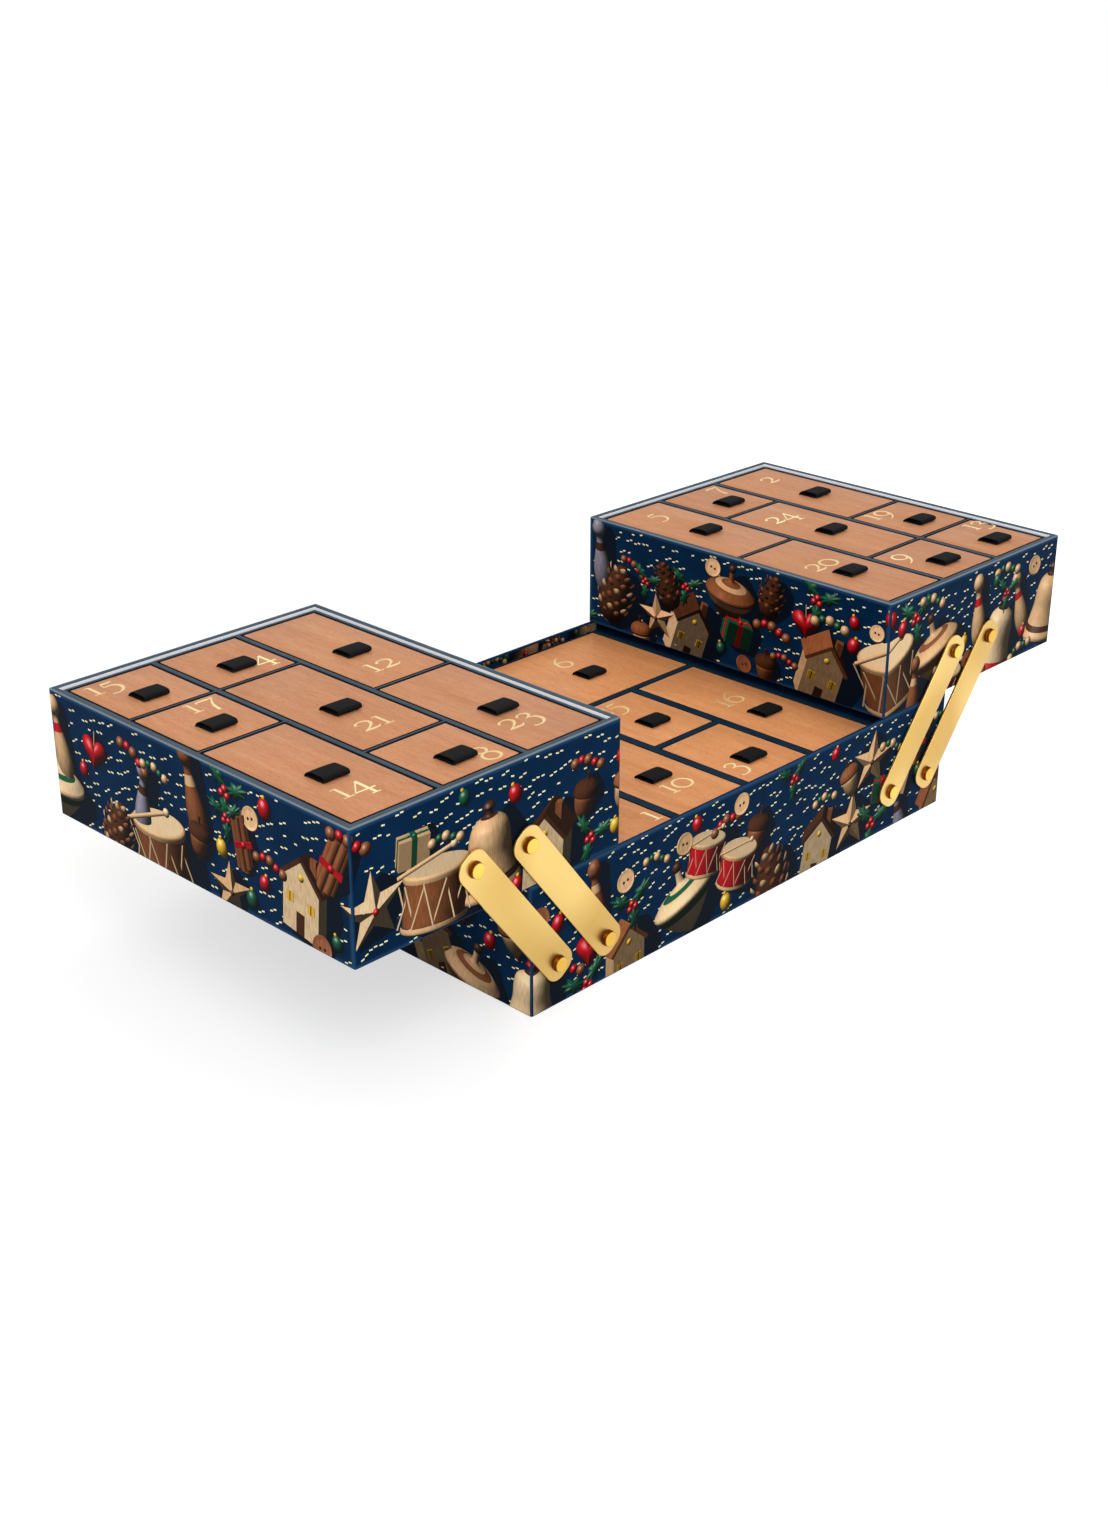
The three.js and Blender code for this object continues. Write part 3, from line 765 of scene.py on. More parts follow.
dice = random.Random(25)
lids = {}
for number in range(1, 26):
    low, high = box_mm(f"lid_{number}")
    top = low[2] + LID_THICK
    raised = [v.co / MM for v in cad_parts[f"lid_{number}"].data.vertices if v.co.z / MM > top + 1]
    pull_x = (min(p.x for p in raised) + max(p.x for p in raised)) / 2
    pull_y = (min(p.y for p in raised) + max(p.y for p in raised)) / 2
    middle = ((low[0] + high[0]) / 2, (low[1] + high[1]) / 2)
    slit_y = pull_y + RIBBON_LENGTH / 2 - SLIT_LENGTH / 2 + RIBBON_TAIL
    board = run_group(f"board_{number}", board_rule, Centre=(middle[0] * MM, middle[1] * MM, low[2] * MM),
                      Width=(high[0] - low[0]) * MM, Length=(high[1] - low[1]) * MM, Thickness=LID_THICK * MM,
                      Corner=LID_CORNER * MM, Slit_Width=(RIBBON_WIDTH + SLIT_PLAY) * MM,
                      Slit_Length=SLIT_LENGTH * MM,
                      Slit_Place=((pull_x - middle[0]) * MM, (slit_y - middle[1]) * MM, 0), Material=beech)
    bake_modifiers(board)
    gaps = closed_outward(board)
    round_edges(board, 0.25, 2, 50)
    smooth_by_angle(board, 30)
    board.data.materials.clear()
    board.data.materials.append(beech)
    board.data.materials.append(painted_shade_board)
    # The lids' sides take the dark paper: painted shade, so that the gaps round each lid read dark.
    for face in board.data.polygons:
        face.material_index = 1 if abs(face.normal.z) < 0.3 else 0
    set_vertex_values(board, "fold", [0.0] * len(board.data.vertices))
    # The base's lids get a higher tone: partly a warmer wood, partly painted light against the trays' shade.
    tone = dice.random() * TONE_SPREAD + BASE_TONE_AND_LIGHT * (top < BASE_LIDS_BELOW)
    set_vertex_values(board, "tone", [tone] * len(board.data.vertices))
    finish_piece(board, f"lid_{number}", "wood", f"lid_{number}")
    lids[number] = dict(low=low, high=high, top=top, pull=(pull_x, pull_y), slit=slit_y, board=board)
    if number < 4:
        print(board.name, [round(v, 2) for v in board.dimensions / MM], "open edges", gaps)
print(len(lids), "lids,", sum(triangles(lid["board"]) for lid in lids.values()), "triangles")

# %% [markdown]
# ## Ribbon pulls
#
# A length of ribbon is folded in two and its ends are pushed down through the slit. What shows is a flat loop
# that lies over on the lid, with a round fold at its free end. Seen from the side that is one line: up out of
# the slit, along the top, round the fold and back below. Sweeping a thin strip along the line gives the
# ribbon, and a slightly different fold for each lid keeps them from looking stamped out.

# %% Ribbon loops
RIBBON_THICK = 0.45
RIBBON_RISE = 4.2
LINE_STEPS = 6


def smooth_line(controls, steps, closed=False):
    """A Catmull-Rom line through control points of any number of values each."""
    p = [np.array(c, float) for c in controls]
    n = len(p)
    spans = n if closed else n - 1
    line = []
    for i in range(spans):
        a, b, c, d = ((p[(i - 1) % n], p[i], p[(i + 1) % n], p[(i + 2) % n]) if closed
                      else (p[max(i - 1, 0)], p[i], p[i + 1], p[min(i + 2, n - 1)]))
        for s in range(steps):
            t = s / steps
            line.append(0.5 * (2 * b + (c - a) * t + (2 * a - 5 * b + 4 * c - d) * t ** 2
                               + (3 * b - a - 3 * c + d) * t ** 3))
    if not closed:
        line.append(p[-1])
    return line


def ribbon_line(slit_y, top, loop, rise):
    """The ribbon's centre line seen from the side, from inside the slit to inside the slit."""
    end = slit_y - loop
    return smooth_line([(slit_y + 0.25, top - 2.0), (slit_y + 0.25, top - 0.3),
                        (slit_y - 0.2, top + rise * 0.32), (slit_y - 2.0, top + rise * 0.72),
                        (slit_y - 4.4, top + rise * 0.94), (slit_y - loop * 0.6, top + rise),
                        (end + 1.6, top + rise * 0.97), (end + 0.35, top + rise * 0.74),
                        (end + 0.45, top + rise * 0.42), (end + 1.9, top + rise * 0.2),
                        (slit_y - loop * 0.5, top + 0.42), (slit_y - 1.6, top + 0.36),
                        (slit_y - 0.45, top - 0.35), (slit_y - 0.35, top - 2.0)], LINE_STEPS)


def swept_strip(name, line, centre_x, width, thick, bow, skew):
    """A closed thin strip along a line seen from the side, bowed across, with its UV in millimetres."""
    across = 8
    points, faces, marks = [], [], []
    travel = 0.0
    count = len(line)
    for i, spot in enumerate(line):
        before, after = line[max(i - 1, 0)], line[min(i + 1, count - 1)]
        ahead = (after - before) / (np.linalg.norm(after - before) or 1)
        side = np.array((-ahead[1], ahead[0]))
        travel += np.linalg.norm(spot - line[i - 1]) if i else 0.0
        for face in (1, -1):
            for k in range(across + 1):
                part = k / across - 0.5
                reach = spot + side * (face * thick / 2)
                lower = bow * (2 * part) ** 2 * min(1.0, 4 * min(i, count - 1 - i) / count)
                points.append(((centre_x + part * width) * MM, (reach[0] + skew * part) * MM,
                               (reach[1] - lower) * MM))
                marks.append((part * width, travel))
    ring = 2 * (across + 1)
    loop = list(range(across + 1)) + [across + 1 + k for k in range(across, -1, -1)]
    for i in range(count - 1):
        for k in range(ring):
            a, b = loop[k], loop[(k + 1) % ring]
            faces.append((i * ring + a, i * ring + b, (i + 1) * ring + b, (i + 1) * ring + a))
    for k in range(across):
        faces.append((k, across + 1 + k, across + 2 + k, k + 1))
        last = (count - 1) * ring
        faces.append((last + k, last + k + 1, last + across + 2 + k, last + across + 1 + k))
    piece = mesh_object(name, points, faces, [ribbon_black])
    closed_outward_normals(piece)
    uv = piece.data.uv_layers.new(name="strip")
    for corner in piece.data.loops:
        uv.data[corner.index].uv = marks[corner.vertex_index]
    smooth_by_angle(piece, 50)
    return piece, travel


def closed_outward_normals(piece):
    """Turns every face of a closed piece outward."""
    work = bmesh.new()
    work.from_mesh(piece.data)
    bmesh.ops.recalc_face_normals(work, faces=work.faces)
    work.to_mesh(piece.data)
    work.free()


for number, lid in lids.items():
    loop = RIBBON_LENGTH + RIBBON_TAIL - SLIT_LENGTH / 2 - 0.3 - dice.uniform(0.0, 0.7)
    rise = RIBBON_RISE - 0.45 - dice.uniform(0.0, 0.5)
    line = ribbon_line(lid["slit"], lid["top"], loop, rise)
    piece, travel = swept_strip(f"ribbon_{number}", line, lid["pull"][0], RIBBON_WIDTH - 0.2, RIBBON_THICK,
                                dice.uniform(0.0, 0.25), dice.uniform(-0.35, 0.35))
    finish_piece(piece, f"lid_{number}", "ribbon")
    lid["ribbon"] = piece
print(len(lids), "ribbons; the last is", round(travel, 1), "mm of ribbon,", triangles(piece), "triangles")

# %% [markdown]
# ## Old-style figures
#
# The numbers are old-style figures: 0, 1 and 2 are as low as an x, 3, 4, 5, 7 and 9 hang below the line, 6
# and 8 stand above it. Each is drawn as a broad pen would draw it, as a few strokes whose width swells and
# thins. A stroke is a list of (across, up, half width) with the x-height as one unit. Each becomes a thin
# closed plate, and a union joins the plates of one figure, so no faces lie over one another.

# %% Figures
X_HEIGHT = 12.4
STRETCH = 1.38
PEN = 1.32
FOIL_THICK = 0.06

STROKES = {
    "0": [("ring", (0.42, 0.5), 0.37, 0.46, 0.062, 0.040)],
    "1": [("line", [(0.24, 0.03, 0.055), (0.24, 0.97, 0.055)]),
          ("line", [(0.05, 0.025, 0.022), (0.43, 0.025, 0.022)]),
          ("line", [(0.06, 0.93, 0.018), (0.15, 0.965, 0.022), (0.26, 0.965, 0.03)])],
    "2": [("line", [(0.09, 0.70, 0.045), (0.10, 0.80, 0.050), (0.20, 0.92, 0.030), (0.38, 0.96, 0.035),
                    (0.55, 0.88, 0.055), (0.61, 0.70, 0.060), (0.52, 0.46, 0.050), (0.30, 0.22, 0.030),
                    (0.08, 0.06, 0.020)]),
          ("line", [(0.06, 0.055, 0.03), (0.22, 0.06, 0.055), (0.50, 0.06, 0.055), (0.66, 0.10, 0.03),
                    (0.72, 0.24, 0.018)])],
    "3": [("line", [(0.09, 0.74, 0.045), (0.12, 0.84, 0.045), (0.24, 0.94, 0.030), (0.40, 0.94, 0.035),
                    (0.53, 0.82, 0.055), (0.50, 0.63, 0.050), (0.36, 0.50, 0.030), (0.24, 0.46, 0.020)]),
          ("line", [(0.24, 0.46, 0.020), (0.42, 0.46, 0.030), (0.58, 0.34, 0.055), (0.65, 0.10, 0.066),
                    (0.58, -0.18, 0.058), (0.40, -0.36, 0.035), (0.20, -0.40, 0.028), (0.05, -0.35, 0.040)])],
    "4": [("line", [(0.52, -0.38, 0.058), (0.52, 0.96, 0.058)]),
          ("line", [(0.53, 0.95, 0.024), (0.03, 0.10, 0.024)]),
          ("line", [(0.01, 0.08, 0.036), (0.76, 0.08, 0.036)]),
          ("line", [(0.36, -0.38, 0.022), (0.68, -0.38, 0.022)])],
    "5": [("line", [(0.18, 0.90, 0.05), (0.44, 0.90, 0.05), (0.60, 0.97, 0.018)]),
          ("line", [(0.19, 0.92, 0.020), (0.13, 0.50, 0.020)]),
          ("line", [(0.12, 0.49, 0.018), (0.28, 0.56, 0.032), (0.46, 0.52, 0.050), (0.61, 0.34, 0.064),
                    (0.62, 0.06, 0.066), (0.50, -0.22, 0.050), (0.30, -0.37, 0.032), (0.06, -0.36, 0.040)])],
    "6": [("ring", (0.40, 0.42), 0.31, 0.38, 0.060, 0.032),
          ("line", [(0.70, 1.40, 0.014), (0.48, 1.27, 0.030), (0.28, 1.04, 0.048), (0.14, 0.74, 0.060),
                    (0.09, 0.44, 0.060)])],
    "7": [("line", [(0.05, 0.74, 0.018), (0.08, 0.88, 0.040), (0.26, 0.91, 0.055), (0.50, 0.90, 0.050),
                    (0.72, 0.95, 0.018)]),
          ("line", [(0.70, 0.93, 0.020), (0.54, 0.60, 0.034), (0.40, 0.18, 0.050), (0.33, -0.38, 0.064)])],
    "8": [("ring", (0.37, 1.08), 0.23, 0.29, 0.052, 0.034),
          ("ring", (0.40, 0.39), 0.31, 0.37, 0.060, 0.034)],
    "9": [("ring", (0.40, 0.58), 0.31, 0.38, 0.060, 0.032),
          ("line", [(0.10, -0.40, 0.014), (0.32, -0.27, 0.030), (0.52, -0.04, 0.048), (0.66, 0.26, 0.060),
                    (0.71, 0.56, 0.060)])],
}
FIGURE_WIDTH = {"0": 0.84, "1": 0.48, "2": 0.76, "3": 0.72, "4": 0.78, "5": 0.72, "6": 0.80, "7": 0.74,
                "8": 0.80, "9": 0.80}
FIGURE_RANGE = {"0": (0, 1), "1": (0, 1), "2": (0, 1), "3": (-0.42, 1), "4": (-0.4, 1), "5": (-0.42, 1),
                "6": (0, 1.42), "7": (-0.4, 1), "8": (0, 1.42), "9": (-0.42, 1)}


def plate(outer, inner, closed):
    """A thin closed plate between two lines of points."""
    count = len(outer)
    points = [(x, y, z) for z in (0.0, 1.0) for row in (outer, inner) for x, y in row]
    faces = []
    last = count if closed else count - 1
    for i in range(last):
        j = (i + 1) % count
        o0, i0, o1, i1 = i, count + i, 2 * count + i, 3 * count + i
        p0, q0, p1, q1 = j, count + j, 2 * count + j, 3 * count + j
        faces += [(o0, p0, q0, i0), (o1, i1, q1, p1), (o0, o1, p1, p0), (i0, q0, q1, i1)]
    if not closed:
        e = count - 1
        faces += [(0, count, 3 * count, 2 * count), (e, 2 * count + e, 3 * count + e, count + e)]
    return points, faces


def stroke_plate(stroke):
    """The plate of one stroke of the pen."""
    if stroke[0] == "ring":
        _, (cx, cy), rx, ry, wide, narrow = stroke
        outer, inner = [], []
        for i in range(40):
            a = 2 * math.pi * i / 40
            w = PEN * (narrow + (wide - narrow) * math.cos(a) ** 2)
            outer.append((cx * STRETCH + math.cos(a) * (rx * STRETCH + w), cy + math.sin(a) * (ry + w)))
            inner.append((cx * STRETCH + math.cos(a) * (rx * STRETCH - w), cy + math.sin(a) * (ry - w)))
        return plate(outer, inner, True)
    controls = [(x * STRETCH, y, w * PEN) for x, y, w in stroke[1]]
    line = smooth_line(controls, 8 if len(controls) > 2 else 1)
    left, right = [], []
    for i, (x, y, w) in enumerate(line):
        ahead = line[min(i + 1, len(line) - 1)] - line[max(i - 1, 0)]
        size = math.hypot(ahead[0], ahead[1])
        nx, ny = -ahead[1] / size, ahead[0] / size
        left.append((x + nx * w, y + ny * w))
        right.append((x - nx * w, y - ny * w))
    return plate(left, right, False)


def figure_mesh(figure):
    """The joined plates of one figure, in units of the x-height."""
    parts = []
    for stroke in STROKES[figure]:
        points, faces = stroke_plate(stroke)
        part = mesh_object(f"figure_{figure}_{len(parts)}", points, faces)
        closed_outward_normals(part)
        parts.append(part)
    first = parts[0]
    for other in parts[1:]:
        join = first.modifiers.new("join", "BOOLEAN")
        join.operation = "UNION"
        join.solver = "EXACT"
        join.object = other
    if len(parts) > 1:
        bake_modifiers(first)
    mesh = first.data
    for part in parts:
        bpy.data.objects.remove(part)
    return [tuple(v.co) for v in mesh.vertices], [tuple(f.vertices) for f in mesh.polygons]


figures = {figure: figure_mesh(figure) for figure in STROKES}
print("figures:", {figure: len(faces) for figure, (points, faces) in figures.items()})

# %% [markdown]
# ## The numbers on the lids
#
# Someone set the numbers by eye: they don't sit in the middle of their lids. Their places are written here as
# the middle of each number, in millimetres from the left end and the front face of the box the lid belongs
# to. The foil is pressed on the wood, so a number is a few hundredths of a millimetre thick and rides on its
# lid.

# %% Numbers in foil
LEFT_NUMBERS = {15: (23.5, 229.2), 4: (109.8, 201.2), 12: (152.2, 149.4), 17: (46.2, 171.1), 21: (94, 90.5),
                8: (108.6, 20.3), 23: (149.6, 35.4), 14: (33.2, 33.8)}
RIGHT_NUMBERS = {2: (158.4, 220.8), 7: (111.9, 229.5), 5: (35.6, 218.6), 24: (93, 155.7), 20: (33.9, 78.1),
                 19: (145.1, 112), 13: (173.1, 51.7), 9: (80.8, 48.2)}
BASE_NUMBERS = {25: (213.2, 140.1), 16: (279.6, 100.5), 3: (202.1, 27.9), 10: (159.6, 38.1), 1: (118.2, 21.9),
                6: (250.9, 220.6), 11: (96, 205), 18: (96, 150), 22: (155, 170)}


def number_on_lid(number, centre):
    """One number in foil, with its middle at centre, given in millimetres."""
    text = str(number)
    tops = [FIGURE_RANGE[c] for c in text]
    middle = (min(t[0] for t in tops) + max(t[1] for t in tops)) / 2
    width = sum(FIGURE_WIDTH[c] * STRETCH for c in text)
    points, faces = [], []
    pen = -width / 2
    bottom = lids[number]["top"] - 0.01
    for c in text:
        shape, polygons = figures[c]
        start = len(points)
        points += [((centre[0] + (pen + x) * X_HEIGHT) * MM, (centre[1] + (y - middle) * X_HEIGHT) * MM,
                    (bottom + z * FOIL_THICK) * MM) for x, y, z in shape]
        faces += [tuple(start + i for i in f) for f in polygons]
        pen += FIGURE_WIDTH[c] * STRETCH
    piece = mesh_object(f"number_{number}", points, faces, [foil_gold])
    finish_piece(piece, f"lid_{number}", "gold_foil")
    return piece


numbers = {}
for box_name, table in (("left_tray_box", LEFT_NUMBERS), ("right_tray_box", RIGHT_NUMBERS),
                        ("base_box", BASE_NUMBERS)):
    low, high = box_mm(box_name)
    for number, (x, y) in table.items():
        numbers[number] = number_on_lid(number, (low[0] + x, low[1] + y))
print(len(numbers), "numbers")

# %% [markdown]
# ## Arms and rivets
#
# The arms are the same rounded board as the lids, only of metal, longer, and turned to lean with the linkage.
# They are blanked from sheet, so their edges are a little round.

# %% Arms
ARM_WIDTH = 20.5
ARM_THICK = 1.6
ARM_END = 9.5
ARM_CORNER = 8.0
ARM_NAMES = [f"{side}_{face}_{row}" for side in ("left", "right") for face in ("front", "back")
             for row in ("outer", "inner")]


def centre_of(node):
    low, high = box_mm(node)
    return [(a + b) / 2 for a, b in zip(low, high)]


for label in ARM_NAMES:
    lower, upper = centre_of(f"{label}_lower_rivet"), centre_of(f"{label}_upper_rivet")
    back = box_mm(f"{label}_arm")[1][1]
    lean = math.atan2(upper[0] - lower[0], upper[2] - lower[2])
    length = math.hypot(upper[0] - lower[0], upper[2] - lower[2]) + 2 * ARM_END
    arm = run_group(f"{label}_link", board_rule, Width=ARM_WIDTH * MM, Length=length * MM,
                    Thickness=ARM_THICK * MM, Corner=ARM_CORNER * MM, Turn=(math.pi / 2, lean, 0),
                    Material=satin_gold,
                    Centre=((lower[0] + upper[0]) / 2 * MM, back * MM, (lower[2] + upper[2]) / 2 * MM))
    bake_modifiers(arm)
    gaps = closed_outward(arm)
    round_edges(arm, 0.35, 3, 50)
    smooth_by_angle(arm, 35)
    finish_piece(arm, f"{label}_arm", "gold_metal", f"{label}_arm")
    print(arm.name, round(length, 1), "mm long, open edges", gaps)

# %% [markdown]
# ## The rivets
#
# A rivet is turned: one line from the middle of its face, down its side, through the wall and out to the
# flange that is clenched inside. Spun round its axis, that line is the rivet. Another node group does it: the
# line is swept along a very small circle, and the ends close on the axis. Then the finished rivet is set on
# one point after another as an instance, turned about where a point lies on the back of the box. The group's
# inputs are the line, the points and the two finishes: a polished face, and a side with the marks of the
# lathe whose dark colour is painted shade and painted reflection.

# %% The rivet group
HUB = 0.001
rivet_rule, given = start_group("turned_rivets", Line=("Object", None), Places=("Object", None),
                                Around=("Int", 48), Face=("Material", None), Side=("Material", None))
side_line = add(rivet_rule, "GeometryNodeMeshToCurve",
                {0: add(rivet_rule, "GeometryNodeObjectInfo", {"Object": given["Line"]}).outputs["Geometry"]})
hub = add(rivet_rule, "GeometryNodeCurvePrimitiveCircle", {"Resolution": given["Around"], "Radius": HUB})
spun = add(rivet_rule, "GeometryNodeCurveToMesh", {"Curve": hub.outputs[0],
                                                   "Profile Curve": side_line.outputs[0]})
closed = add(rivet_rule, "GeometryNodeMergeByDistance", {"Geometry": spun.outputs[0], "Distance": 1e-6})
spots = add(rivet_rule, "GeometryNodeObjectInfo", {"Object": given["Places"]}).outputs["Geometry"]
where = add(rivet_rule, "ShaderNodeSeparateXYZ", {0: add(rivet_rule, "GeometryNodeInputPosition").outputs[0]})
on_back = add(rivet_rule, "FunctionNodeCompare", {0: where.outputs["Y"], 1: 0.0}, operation="GREATER_THAN")
half_turn = add(rivet_rule, "ShaderNodeMath", {0: on_back.outputs[0], 1: math.pi}, operation="MULTIPLY")
facing = add(rivet_rule, "ShaderNodeCombineXYZ", {0: math.pi / 2, 2: half_turn.outputs[0]})
set_out = add(rivet_rule, "GeometryNodeInstanceOnPoints",
              {"Points": spots, "Instance": closed.outputs[0], "Rotation": facing.outputs[0]})
real = add(rivet_rule, "GeometryNodeRealizeInstances", {0: set_out.outputs[0]})
polished = add(rivet_rule, "GeometryNodeSetMaterial",
               {"Geometry": real.outputs[0], "Material": given["Face"]})
lean = add(rivet_rule, "ShaderNodeSeparateXYZ", {0: add(rivet_rule, "GeometryNodeInputNormal").outputs[0]})
steep = add(rivet_rule, "ShaderNodeMath", {0: lean.outputs["Y"]}, operation="ABSOLUTE")
is_side = add(rivet_rule, "FunctionNodeCompare", {0: steep.outputs[0], 1: 0.75}, operation="LESS_THAN")
two_finishes = add(rivet_rule, "GeometryNodeSetMaterial",
                   {"Geometry": polished.outputs[0], "Selection": is_side.outputs[0],
                    "Material": given["Side"]})
rivet_rule.links.new(two_finishes.outputs[0], rivet_rule.nodes.new("NodeGroupOutput").inputs[0])
print("rule:", rivet_rule.name, "with", len(rivet_rule.nodes), "nodes")

# %% [markdown]
# The lower rivets sit in the base's wall and the upper ones in the thicker walls of the trays, so their lines
# differ in length. Each body gets one mesh with all its rivets.

# %% Sixteen rivets
HEAD_LINE = [(0.0, 0.0), (2.2, 0.0), (3.9, 0.03), (4.15, 0.1), (4.35, 0.3), (4.42, 0.6), (4.55, 1.9),
             (4.75, 2.2), (4.75, 2.42), (4.6, 2.5), (2.5, 2.5)]


def rivet_set(name, body, nodes):
    """All rivets of one body, in place of its CAD rivets."""
    low, high = box_mm(nodes[0])
    depth = high[1] - low[1]
    line = HEAD_LINE + [(2.5, depth - 0.8), (4.3, depth - 0.8), (4.3, depth - 0.25), (4.05, depth),
                        (0.0, depth)]
    line_piece = mesh_object("rivet_line", [], [])
    line_piece.data.from_pydata([(r * MM - HUB, d * MM, 0) for r, d in line],
                                [(i, i + 1) for i in range(len(line) - 1)], [])
    places = []
    for node in nodes:
        low, high = box_mm(node)
        centre = centre_of(node)
        places.append((centre[0] * MM, (low[1] if centre[1] < 0 else high[1]) * MM, centre[2] * MM))
    place_piece = mesh_object("rivet_places", places, [])
    rivets = run_group(name, rivet_rule, Line=line_piece, Places=place_piece, Face=polished_gold,
                       Side=side_gold_painted_shade)
    bake_modifiers(rivets)
    for helper in (line_piece, place_piece):
        bpy.data.objects.remove(helper)
    closed_outward_normals(rivets)
    smooth_by_angle(rivets, 40)
    finish_piece(rivets, body, "gold_metal", *nodes)
    print(name, triangles(rivets), "triangles")


rivet_set("foot_rivets", "base", [f"{label}_lower_rivet" for label in ARM_NAMES])
for side in ("left", "right"):
    rivet_set(f"{side}_head_rivets", f"{side}_tray",
              [f"{label}_upper_rivet" for label in ARM_NAMES if label.startswith(side)])

# %% [markdown]
# ## A print of little wooden things
#
# The walls of the boxes carry an all-over print: small turned and carved things, photographed on navy. This
# one is a design of its own. Printed ink is flat, but what it shows was round, so each motif is first
# modelled as a little body, shaded from its own normals by a painted light from the upper left, and then
# pressed flat to a tenth of a millimetre. Only the faces toward the viewer are kept. First come the few
# shapes that all motifs are made of: something turned on a lathe, something puffed inside an outline, and a
# plain block.

# %% Shapes that motifs are made of
TAN, PALE, MID, DARK = "#DDB382", "#ECCDA0", "#915633", "#4C2A18"
RED, GREEN, YELLOW, GREY, SHADOW_INK = "#C4121E", "#155C40", "#EDBB35", "#9391A0", "#020D1B"
PRINT_LIGHT = np.array((-0.50, 0.62, 0.60))


def shape(points, normals, faces, colour, gloss=0.0, wood=1.0):
    """A piece of a motif: points, normals, faces, and the ink's colour, gloss and share of wood figure."""
    count = len(points)
    return dict(points=np.array(points, float), normals=np.array(normals, float), faces=list(faces),
                ink=np.tile(np.array(linear(colour)[:3]), (count, 1)), gloss=np.full(count, gloss),
                wood=np.full(count, wood))


def joined(*shapes):
    """Several shapes as one."""
    keys = ("points", "normals", "ink", "gloss", "wood")
    out = {key: np.concatenate([s[key] for s in shapes]) for key in keys}
    out["faces"] = []
    start = 0
    for s in shapes:
        out["faces"] += [tuple(start + i for i in f) for f in s["faces"]]
        start += len(s["points"])
    return out


def placed(s, shift=(0, 0, 0), turn=0.0, pitch=0.0, yaw=0.0, scale=1.0):
    """The shape yawed round the upright, pitched toward the viewer, turned, scaled and shifted."""
    matrix = Matrix.Rotation(turn, 3, "Z") @ Matrix.Rotation(pitch, 3, "X") @ Matrix.Rotation(yaw, 3, "Y")
    matrix = np.array(matrix)
    out = dict(s)
    out["points"] = s["points"] @ matrix.T * scale + np.array(shift, float)
    out["normals"] = s["normals"] @ matrix.T
    return out


def turned(*parts, around=22):
    """A body from the lathe. A part is (side line of (radius, height), colour, gloss, wood)."""
    made = []
    for controls, colour, gloss, wood in parts:
        line = smooth_line(controls, 3 if len(controls) > 2 else 1)
        points, normals, faces = [], [], []
        for i, (radius, height) in enumerate(line):
            ahead = line[min(i + 1, len(line) - 1)] - line[max(i - 1, 0)]
            size = math.hypot(ahead[0], ahead[1]) or 1.0
            for k in range(around):
                a = 2 * math.pi * k / around
                c, s = math.cos(a), math.sin(a)
                points.append((c * radius, height, s * radius))
                normals.append((c * ahead[1] / size, -ahead[0] / size, s * ahead[1] / size))
        for i in range(len(line) - 1):
            for k in range(around):
                n = (k + 1) % around
                faces.append((i * around + k, (i + 1) * around + k, (i + 1) * around + n, i * around + n))
        made.append(shape(points, normals, faces, colour, gloss, wood))
    return joined(*made)


def puffed(edge_points, height, colour, gloss=0.1, wood=1.0, rings=4, ridge=False):
    """A flat-backed cushion or carved slab inside an outline."""
    edge_points = np.array(edge_points, float)
    count = len(edge_points)
    points, normals, faces = [], [], []
    for j in range(rings + 1):
        t = 1 - j / rings
        rise = height * (1 - t if ridge else math.sqrt(max(0.0, 1 - t * t)))
        for i, (x, y) in enumerate(edge_points):
            after, before = edge_points[(i + 1) % count], edge_points[i - 1]
            side = after - (edge_points[i] if ridge else before)
            out = np.array((side[1], -side[0])) / (np.hypot(*side) or 1)
            lean = 0.62 if ridge else t
            points.append((x * t, y * t, rise))
            normals.append((out[0] * lean, out[1] * lean, math.sqrt(max(0.0, 1 - lean * lean))))
    for j in range(rings):
        for i in range(count):
            n = (i + 1) % count
            faces.append((j * count + i, j * count + n, (j + 1) * count + n, (j + 1) * count + i))
    return shape(points, normals, faces, colour, gloss, wood)


def block(size, colour, gloss=0.05, wood=1.0, centre=(0, 0, 0)):
    """A plain block of (width, height, depth)."""
    made = []
    for axis in range(3):
        for sign in (-1, 1):
            u, v = [(1, 2), (2, 0), (0, 1)][axis]
            corners = []
            for a, b in ((-1, -1), (1, -1), (1, 1), (-1, 1)):
                spot = np.zeros(3)
                spot[axis], spot[u], spot[v] = sign, a, b
                corners.append(spot * np.array(size) / 2 + np.array(centre))
            if sign < 0:
                corners.reverse()
            normal = np.zeros(3)
            normal[axis] = sign
            made.append(shape(corners, [normal] * 4, [(0, 1, 2, 3)], colour, gloss, wood))
    return joined(*made)


def rod(start, end, radius, colour, gloss=0.1, wood=0.6):
    """A straight round stick between two points of the picture."""
    start, end = np.array(start, float), np.array(end, float)
    length = np.linalg.norm(end - start)
    stick = turned(([(0, 0), (radius, 0)], colour, 0, wood),
                   ([(radius, 0), (radius, length)], colour, gloss, wood),
                   ([(radius, length), (0, length)], colour, 0, wood), around=10)
    turn = math.atan2(-(end - start)[0], (end - start)[1])
    return placed(stick, start, turn=turn)


def ball(radius, colour, gloss=0.7, wood=0.0, squash=1.0, around=16):
    """A round bead."""
    line = [(radius * math.sin(a), -radius * squash * math.cos(a))
            for a in np.linspace(0.02, math.pi - 0.02, 7)]
    return turned((line, colour, gloss, wood), around=around)


print("motif shapes ready")

# %% [markdown]
# ## The motifs
#
# Fifteen little things, all about as large as they'd be in the hand: tops, bells, drums, houses, ninepins,
# acorns, cones, cinnamon, stars, hearts, parcels, holly, strings of beads, egg-shaped beads and buttons.
# Sizes are in millimetres on the wall.

